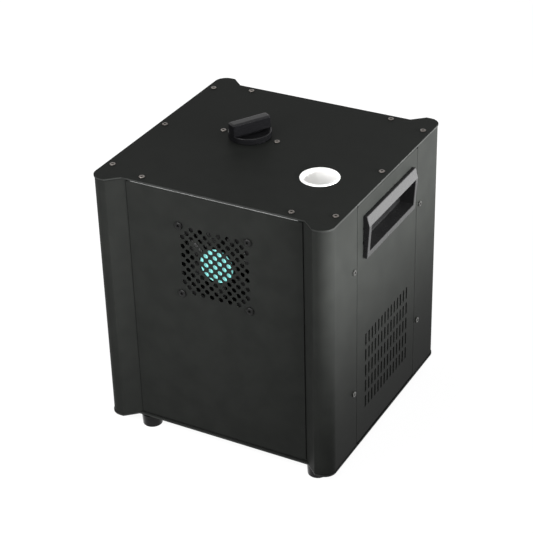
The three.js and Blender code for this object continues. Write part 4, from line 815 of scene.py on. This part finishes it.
top_places = [(sx * END_SCREWS_AT[0], sy * END_SCREWS_AT[1]) for sx in SIGNS for sy in SIGNS]
top_places += [(s * MIDDLE_SCREW_X, 0) for s in SIGNS]
top_places += [(HOPPER_AT[0] + s * CAP_SCREW_REACH, HOPPER_AT[1]) for s in SIGNS]
for k, (x, y) in enumerate(top_places):
    add(f"plate_screw_{k + 1}", shifted(screw_head(**TOP_SCREW), x, y, PLATE_TOP), PALE)

side_places = [(s * SIDE_SCREW_Y, z) for z in SIDE_SCREW_HEIGHTS for s in SIGNS]
for hand in ("right", "left"):
    for k, (y, z) in enumerate(side_places):
        add(f"side_screw_{hand}_{k + 1}", shifted(screw_head(**SIDE_SCREW), y, z, POST_FACE), DULL, hand)


# ---- Feet ----
FOOT_X = {"left": -84.8, "right": 98.5}
FOOT_Y = 101.5


def foot_shape():
    """A tapered round foot and the screw in its recess."""
    rubber = lathe(smooth_round([
        (0, 5), (4, 5), (4, 0), (9.3, 0), (9.8, 0.6), (10.5, 12.4), (10.5, BASE_UNDER), (0, BASE_UNDER)], 0.3, 2), 64)
    screw = lathe([(0, 3.4), (2.6, 3.4), (3.2, 4.0), (3.2, 5), (0, 5)], 24)
    return merged(rubber, screw)


for end, sy in ENDS:
    for hand, x in FOOT_X.items():
        add(f"foot_{end}_{hand}_fine", shifted(foot_shape(), x, sy * FOOT_Y), FOOT, nodes=(f"foot_{end}_{hand}",))


# ---- Hopper, cap, nozzle ----
NECK_INNER = 16
NECK_OUTER = 18
NECK_TOP = 277
HOPPER_FLANGE = 36
FLANGE_TOP = 273.7
FLANGE_UNDER = 270.7
BOWL_TOP = 270.4
BOWL_FLANGE_UNDER = 268.4
CONE_TOP = 219.7
CONE_FOOT = 181.7
SPOUT_FOOT = 165.7
BOWL_RADII = (30, 32)
SPOUT_RADII = (7, 9)
CAP_RADIUS = 20.6
CAP_TURN = 59
GRIP_HALF = 5
GRIP_LOW = 3.3
GRIP_TOP = 18.1
GRIP_ROUND = 1.9
SEAL_INNER = 16.2
SEAL_LOW = 1.3
SEAL_HIGH = 2.3
SEAL_ROUND = 0.3
NOZZLE_LOW = 200
NOZZLE_TOP = 276.7
NOZZLE_INNER = 16.1
NOZZLE_OUTER = 18.4
NOZZLE_LIP = 15.5
NOZZLE_COLLAR = 29
NOZZLE_COLLAR_UNDER = 267.7


def collar_shape():
    return lathe(smooth_round([
        (NECK_INNER, NECK_TOP), (NECK_INNER, FLANGE_UNDER), (HOPPER_FLANGE, FLANGE_UNDER),
        (HOPPER_FLANGE, FLANGE_TOP), (NECK_OUTER, FLANGE_TOP), (NECK_OUTER, NECK_TOP)], 0.3, 2), 72, True)


def bowl_shape():
    """A straight bowl, the cone under it, and the spout."""
    return lathe(smooth_round([
        (BOWL_RADII[0], BOWL_TOP), (BOWL_RADII[0], CONE_TOP), (SPOUT_RADII[0], CONE_FOOT),
        (SPOUT_RADII[0], SPOUT_FOOT), (SPOUT_RADII[1], SPOUT_FOOT), (SPOUT_RADII[1], CONE_FOOT),
        (BOWL_RADII[1], CONE_TOP), (BOWL_RADII[1], BOWL_FLANGE_UNDER), (HOPPER_FLANGE, BOWL_FLANGE_UNDER),
        (HOPPER_FLANGE, BOWL_TOP)], 0.3, 2), 72, True)


def cap_shape():
    """A dished disc with its plug below and the raised grip bar across it."""
    disc = lathe(smooth_round([
        (0, 2.6), (13.4, 2.6), (13.4, -9), (15.4, -9), (15.4, 2.6), (18.4, 2.6), (18.4, 0.5), (CAP_RADIUS, 0.5),
        (CAP_RADIUS, 6.4), (18.8, 6.4), (16.2, 4.8), (12, 4.1), (0, 4)], 0.5, 3), 96)
    end = math.asin(GRIP_HALF / CAP_RADIUS)
    outline = arc(0, 0, CAP_RADIUS, -end, end, 6) + arc(0, 0, CAP_RADIUS, math.pi - end, math.pi + end, 6)
    grip = slab([(outline, GRIP_ROUND)], GRIP_LOW, GRIP_TOP, 6)
    return spun(merged(disc, grip), math.radians(CAP_TURN))


def nozzle_shape():
    """A tube with a narrower lip at its mouth and a collar under the plate."""
    return lathe(smooth_round([
        (NOZZLE_INNER, NOZZLE_LOW), (NOZZLE_OUTER, NOZZLE_LOW), (NOZZLE_OUTER, NOZZLE_COLLAR_UNDER),
        (NOZZLE_COLLAR, NOZZLE_COLLAR_UNDER), (NOZZLE_COLLAR, FLANGE_TOP), (NOZZLE_OUTER, FLANGE_TOP),
        (NOZZLE_OUTER, NOZZLE_TOP), (NOZZLE_LIP, NOZZLE_TOP), (NOZZLE_LIP, 275.2), (NOZZLE_INNER, 274.4)],
        0.5, 3), 96, True)


seal = lathe(ring_profile(SEAL_INNER, NECK_OUTER, SEAL_LOW, SEAL_HIGH, SEAL_ROUND), 64, True)
add("hopper_collar_fine", shifted(collar_shape(), *HOPPER_AT), ALUMINIUM, nodes=("hopper_collar",))
add("hopper_fine", shifted(bowl_shape(), *HOPPER_AT), ALUMINIUM, nodes=("hopper",))
add("hopper_cap_fine", shifted(cap_shape(), *HOPPER_AT, PLATE_TOP), GLOSS, body="hopper_cap", nodes=("hopper_cap",))
add("cap_seal_fine", shifted(seal, *HOPPER_AT, PLATE_TOP), RUBBER, body="cap_seal", nodes=("cap_seal",))
add("nozzle_tube_fine", shifted(nozzle_shape(), *NOZZLE_AT), CERAMIC, nodes=("nozzle_tube",))


# ---- Control side: heights above the floor, X across seen from outside ----
DISPLAY_Z = 235
BUTTON_Z = 207
BUTTON_PITCH = 17
BUTTON_X = {name: (k - 1.5) * BUTTON_PITCH for k, name in enumerate(("menu", "down", "up", "enter"))}
SIGNAL_X = 36
SIGNAL_Z = 161
FUSE_AT = (50, 117)
MAINS_X = 50
MAINS_Z = 83
SWITCH_Z = 83

DISPLAY_HOLE = {"width": 54.6, "height": 22.6, "radius": 1}
SWITCH_HOLE = {"width": 19.2, "height": 26, "radius": 0.6}
MAINS_HOLE = {"width": 30.6, "height": 22.6, "radius": 0.6}
FUSE_HOLE = 6.9
BUTTON_HOLE = 5.3
SIGNAL_HOLE = 11.8


def control_holes():
    holes = [
        (rounded(y=DISPLAY_Z, **DISPLAY_HOLE), CUT_ROUND),
        (rounded(y=SWITCH_Z, **SWITCH_HOLE), CUT_ROUND),
        (circle(*FUSE_AT, FUSE_HOLE, 40), CUT_ROUND),
    ]
    holes += [(circle(x, BUTTON_Z, BUTTON_HOLE, 40), 0.12) for x in BUTTON_X.values()]
    holes += [(circle(s * SIGNAL_X, SIGNAL_Z, SIGNAL_HOLE, 48), CUT_ROUND) for s in SIGNS]
    return holes + [(rounded(x=s * MAINS_X, y=MAINS_Z, **MAINS_HOLE), CUT_ROUND) for s in SIGNS]


add("control_panel_fine", recessed_sheet(control_holes()), COAT, "control", nodes=("control_panel",))


# Display
WINDOW = (50.4, 18.4)


def display_bezel():
    rim = slab([(rounded(60, 28, 3, steps=10), 0.7), (rounded(*WINDOW, 1.2), 0.4)], 0, 1.6, 4)
    return merged(rim, slab([(rounded(54, 22, 0.8), 0), (rounded(*WINDOW, 0.8), 0)], -5, 0.4))


screen = slab([(rounded(49.8, 17.8, 0.6), 0.2)], -8.9, 1.0)
add("display_bezel_fine", shifted(display_bezel(), 0, DISPLAY_Z, PANEL_FACE), GLOSS, "control",
    nodes=("display_bezel",))
add("display_screen_fine", shifted(screen, 0, DISPLAY_Z, PANEL_FACE), GLASS, "control", nodes=("display_screen",))

# Buttons: a domed top, and a collar behind the panel
for name, x in BUTTON_X.items():
    button = lathe(smooth_round([
        (0, -7.1), (3, -7.1), (3, -2.7), (6.2, -2.7), (6.2, -1.5), (5, -1.5), (5, 2.6), (4.2, 3.3), (2.5, 3.4),
        (0, 3.4)], 0.25, 2), 48)
    add(f"button_{name}_fine", shifted(button, x, BUTTON_Z, PANEL_FACE), PLASTIC, "control", f"button_{name}",
        (f"button_{name}",))


# Signal sockets: pins in the input, an insert with holes and a latch in the output
PIN_COUNT = 3
PIN_CIRCLE = 3.8
CUP_RADIUS = 9.6
LATCH_Z = 174.1


def flange_screws(dx, dy, z):
    """Two screws at opposite corners of a flange."""
    return merged(*[shifted(screw_head(**FLANGE_SCREW), s * dx, s * dy, z) for s in SIGNS])


def signal_flange():
    plate = slab([(rounded(26, 31, 3), 0.5), (circle(0, 0, CUP_RADIUS, 56), 0.4)], 0, 2)
    shell = smooth_round([
        (0, -20), (11.5, -20), (11.5, 0.5), (CUP_RADIUS, 0.5), (CUP_RADIUS, -12), (0, -12)], 0.2, 2)
    return merged(plate, lathe(shell, 56))


pin_turns = [QUARTER + TAU * k / PIN_COUNT for k in range(PIN_COUNT)]
pins = [(PIN_CIRCLE * math.cos(turn), PIN_CIRCLE * math.sin(turn)) for turn in pin_turns]
add("signal_in_socket_fine", shifted(signal_flange(), SIGNAL_X, SIGNAL_Z, PANEL_FACE), SOCKET, "control",
    nodes=("signal_in_socket",))
for k, (x, y) in enumerate(pins):
    pin = lathe([(0, -12.5), (1.2, -12.5), (1.2, -1.8), (0.8, -1.1), (0, -1)], 20)
    add(f"signal_pin_{k + 1}", shifted(pin, SIGNAL_X + x, SIGNAL_Z + y, PANEL_FACE), STEEL, "control")
insert = slab([(circle(0, 0, 7.4, 48), 0.4)] + [(circle(x, y, 1.5, 18), 0.15) for x, y in pins], -12.5, 1)
add("signal_out_socket_fine", shifted(merged(signal_flange(), insert), -SIGNAL_X, SIGNAL_Z, PANEL_FACE), SOCKET,
    "control", nodes=("signal_out_socket",))
latch = slab([(rounded(8, 3, 0.6), 0.3)], 1.3, 3.4)
add("signal_latch_fine", shifted(latch, -SIGNAL_X, LATCH_Z, PANEL_FACE), STEEL, "control", "signal_latch",
    ("signal_latch",))
for way, s in (("out", -1), ("in", 1)):
    add(f"signal_flange_screws_{way}", shifted(flange_screws(9.6, s * 12.2, 2), s * SIGNAL_X, SIGNAL_Z, PANEL_FACE),
        BLACK_SCREW, "control")
    add(f"mains_flange_screws_{way}", shifted(flange_screws(20, 0, 2.5), s * MAINS_X, MAINS_Z, PANEL_FACE),
        BLACK_SCREW, "control")

# Mains sockets and switch
refined("mains_inlet", PLASTIC, 0.35)
refined("mains_outlet", PLASTIC, 0.35)
refined("switch_housing", GLOSS, 0.35)
refined("switch_rocker", GLOSS, 0.3)

# Fuse holder and its ribbed, slotted cap
RIB_DEPTH_SHARE = 0.035
FUSE_SLOT = (9, 1.4, 0.4)


def fuse_cap():
    grip = [(x * (1 - RIB_DEPTH_SHARE * (k % 4 < 2)), y * (1 - RIB_DEPTH_SHARE * (k % 4 < 2)))
            for k, (x, y) in enumerate(circle(0, 0, 6.4, 96))]
    return merged(
        slab([(grip, 0.5), (rounded(*FUSE_SLOT), 0.1)], 2.1, 8.1),
        slab([(rounded(*FUSE_SLOT), 0)], 5, 6.6),
        lathe([(0, -7.9), (4, -7.9), (4, 2.4), (0, 2.4)], 32),
    )


holder = lathe(smooth_round([
    (0, -22), (6.6, -22), (6.6, 0), (9, 0), (9, 1.8), (4.4, 1.8), (4.4, -11.2), (0, -11.2)], 0.35, 3), 56)
add("fuse_holder_fine", shifted(holder, *FUSE_AT, PANEL_FACE), PLASTIC, "control", nodes=("fuse_holder",))
add("fuse_cap_fine", shifted(fuse_cap(), *FUSE_AT, PANEL_FACE), PLASTIC, "control", "fuse_cap", ("fuse_cap",))


# ---- CAD nodes that stay, seen through the slots and the nozzle ----
STAYING = {
    "control_board": (BOARD, 0.2), "heater_core": (STEEL, 0.2), "core_sleeve": (CERAMIC, 0.2),
    "induction_coil": (COPPER, 0), "feed_tube": (ALUMINIUM, 0.2), "auger": (STEEL, 0), "feed_motor": (STEEL, 0.5),
    "feed_bracket": (ALUMINIUM, 0.2), "blower_housing": (PLASTIC, 0.5), "blower_impeller": (PLASTIC, 0.2),
    "blower_motor": (STEEL, 0.5), "power_supply": (DARK_CASE, 0.4), "heater_driver": (DARK_CASE, 0.3),
}
for node, (material, radius) in STAYING.items():
    refined(node, material, radius, 1, 40)


# ---- Stage, lights and camera ----
FLOOR_HALF = 6
FLOOR_SEEN = 0.12
FLOOR_UNSEEN = 0.3
FLOOR_GLOW = 0.94
WORLD_UNSEEN = 0.42
WORLD_SEEN = 1.0
WHITE = (1, 1, 1, 1)
MIDDLE = (0, 0, 0.15)


def seen_by_camera(tree):
    """1 for camera, glossy and transmission rays."""
    path = add_node(tree, "LightPath", {})
    total = path.outputs["Is Camera Ray"]
    for name in ("Is Glossy Ray", "Is Transmission Ray"):
        both = add_node(tree, "Math", {0: total, 1: path.outputs[name]})
        both.operation = "MAXIMUM"
        total = both.outputs[0]
    return total


def floor_material():
    """Near white where it is seen, and a plain grey for the light that it throws back."""
    material = bpy.data.materials.new("floor_white")
    material.use_nodes = True
    tree = material.node_tree
    tree.nodes.clear()
    unseen = add_node(tree, "BsdfDiffuse", {"Color": (FLOOR_UNSEEN,) * 3 + (1,)})
    shade = add_node(tree, "BsdfDiffuse", {"Color": (FLOOR_SEEN,) * 3 + (1,)})
    glow = add_node(tree, "Emission", {"Color": WHITE, "Strength": FLOOR_GLOW})
    seen = add_node(tree, "AddShader", {0: shade.outputs[0], 1: glow.outputs[0]})
    mix = add_node(tree, "MixShader", {0: seen_by_camera(tree), 1: unseen.outputs[0], 2: seen.outputs[0]})
    add_node(tree, "OutputMaterial", {"Surface": mix.outputs[0]})
    return material


mesh = bpy.data.meshes.new("floor")
mesh.from_pydata([(x * FLOOR_HALF, y * FLOOR_HALF, 0) for x, y in ((-1, -1), (1, -1), (1, 1), (-1, 1))], [],
                 [(0, 1, 2, 3)])
mesh.materials.append(floor_material())
floor_sheet = bpy.data.objects.new("floor", mesh)
bpy.context.scene.collection.objects.link(floor_sheet)

world = bpy.data.worlds.new("studio")
bpy.context.scene.world = world
world.use_nodes = True
tree = world.node_tree
tree.nodes.clear()
unseen, seen = (add_node(tree, "Background", {"Color": WHITE, "Strength": strength})
                for strength in (WORLD_UNSEEN, WORLD_SEEN))
mix = add_node(tree, "MixShader", {0: seen_by_camera(tree), 1: unseen.outputs[0], 2: seen.outputs[0]})
add_node(tree, "OutputWorld", {"Surface": mix.outputs[0]})


def softbox(name, place, aim, width, height, power, spread=180):
    """A rectangular lamp that the camera doesn't see."""
    data = bpy.data.lights.new(name, "AREA")
    data.shape = "RECTANGLE"
    data.size = width
    data.size_y = height
    data.energy = power
    data.spread = math.radians(spread)
    lamp = bpy.data.objects.new(name, data)
    lamp.location = place
    lamp.visible_camera = False
    lamp.rotation_euler = (Vector(aim) - Vector(place)).to_track_quat("-Z", "Y").to_euler()
    bpy.context.scene.collection.objects.link(lamp)
    return lamp


strip = softbox("right_side", (0.36, 0.2, 0.285), (0, 0.2, 0.22), 1.2, 0.1, 4.6, spread=75)
strip.visible_glossy = False
softbox("right_low", (0.49, 0.45, 0.10), (0.125, 0, 0.25), 0.45, 0.12, 0.07, spread=60)
softbox("overhead_front", (0.62, -0.95, 1.25), (0.04, 0, 0.2), 0.7, 0.7, 7)
softbox("overhead_left", (-0.5, -0.6, 1.6), MIDDLE, 1.0, 1.0, 3.6)
softbox("left_front", (-0.17, -0.48, 0.4), (-0.1, -0.1, 0.26), 0.3, 0.3, 2.3)
softbox("front_right", (0.9, -1.2, 0.6), MIDDLE, 0.6, 0.8, 2)

# The camera's place, lens and directions, fitted to the photograph
CAMERA_AT = (0.66599, -1.20746, 0.96053)
CAMERA_RIGHT = (0.88009, 0.47416, -0.02471)
CAMERA_FORWARD = (-0.41952, 0.75220, -0.50814)
LENS = 111.14
SENSOR = 36

camera_data = bpy.data.cameras.new("camera")
camera_data.lens = LENS
camera_data.sensor_width = SENSOR
camera_data.clip_start = 0.05
camera = bpy.data.objects.new("camera", camera_data)
bpy.context.scene.collection.objects.link(camera)
bpy.context.scene.camera = camera
forward = Vector(CAMERA_FORWARD).normalized()
up = Vector(CAMERA_RIGHT).normalized().cross(forward).normalized()
right = forward.cross(up).normalized()
camera.matrix_world = Matrix((
    (right.x, up.x, -forward.x, CAMERA_AT[0]),
    (right.y, up.y, -forward.y, CAMERA_AT[1]),
    (right.z, up.z, -forward.z, CAMERA_AT[2]),
    (0, 0, 0, 1),
))

view = bpy.context.scene.view_settings
view.view_transform = "Standard"
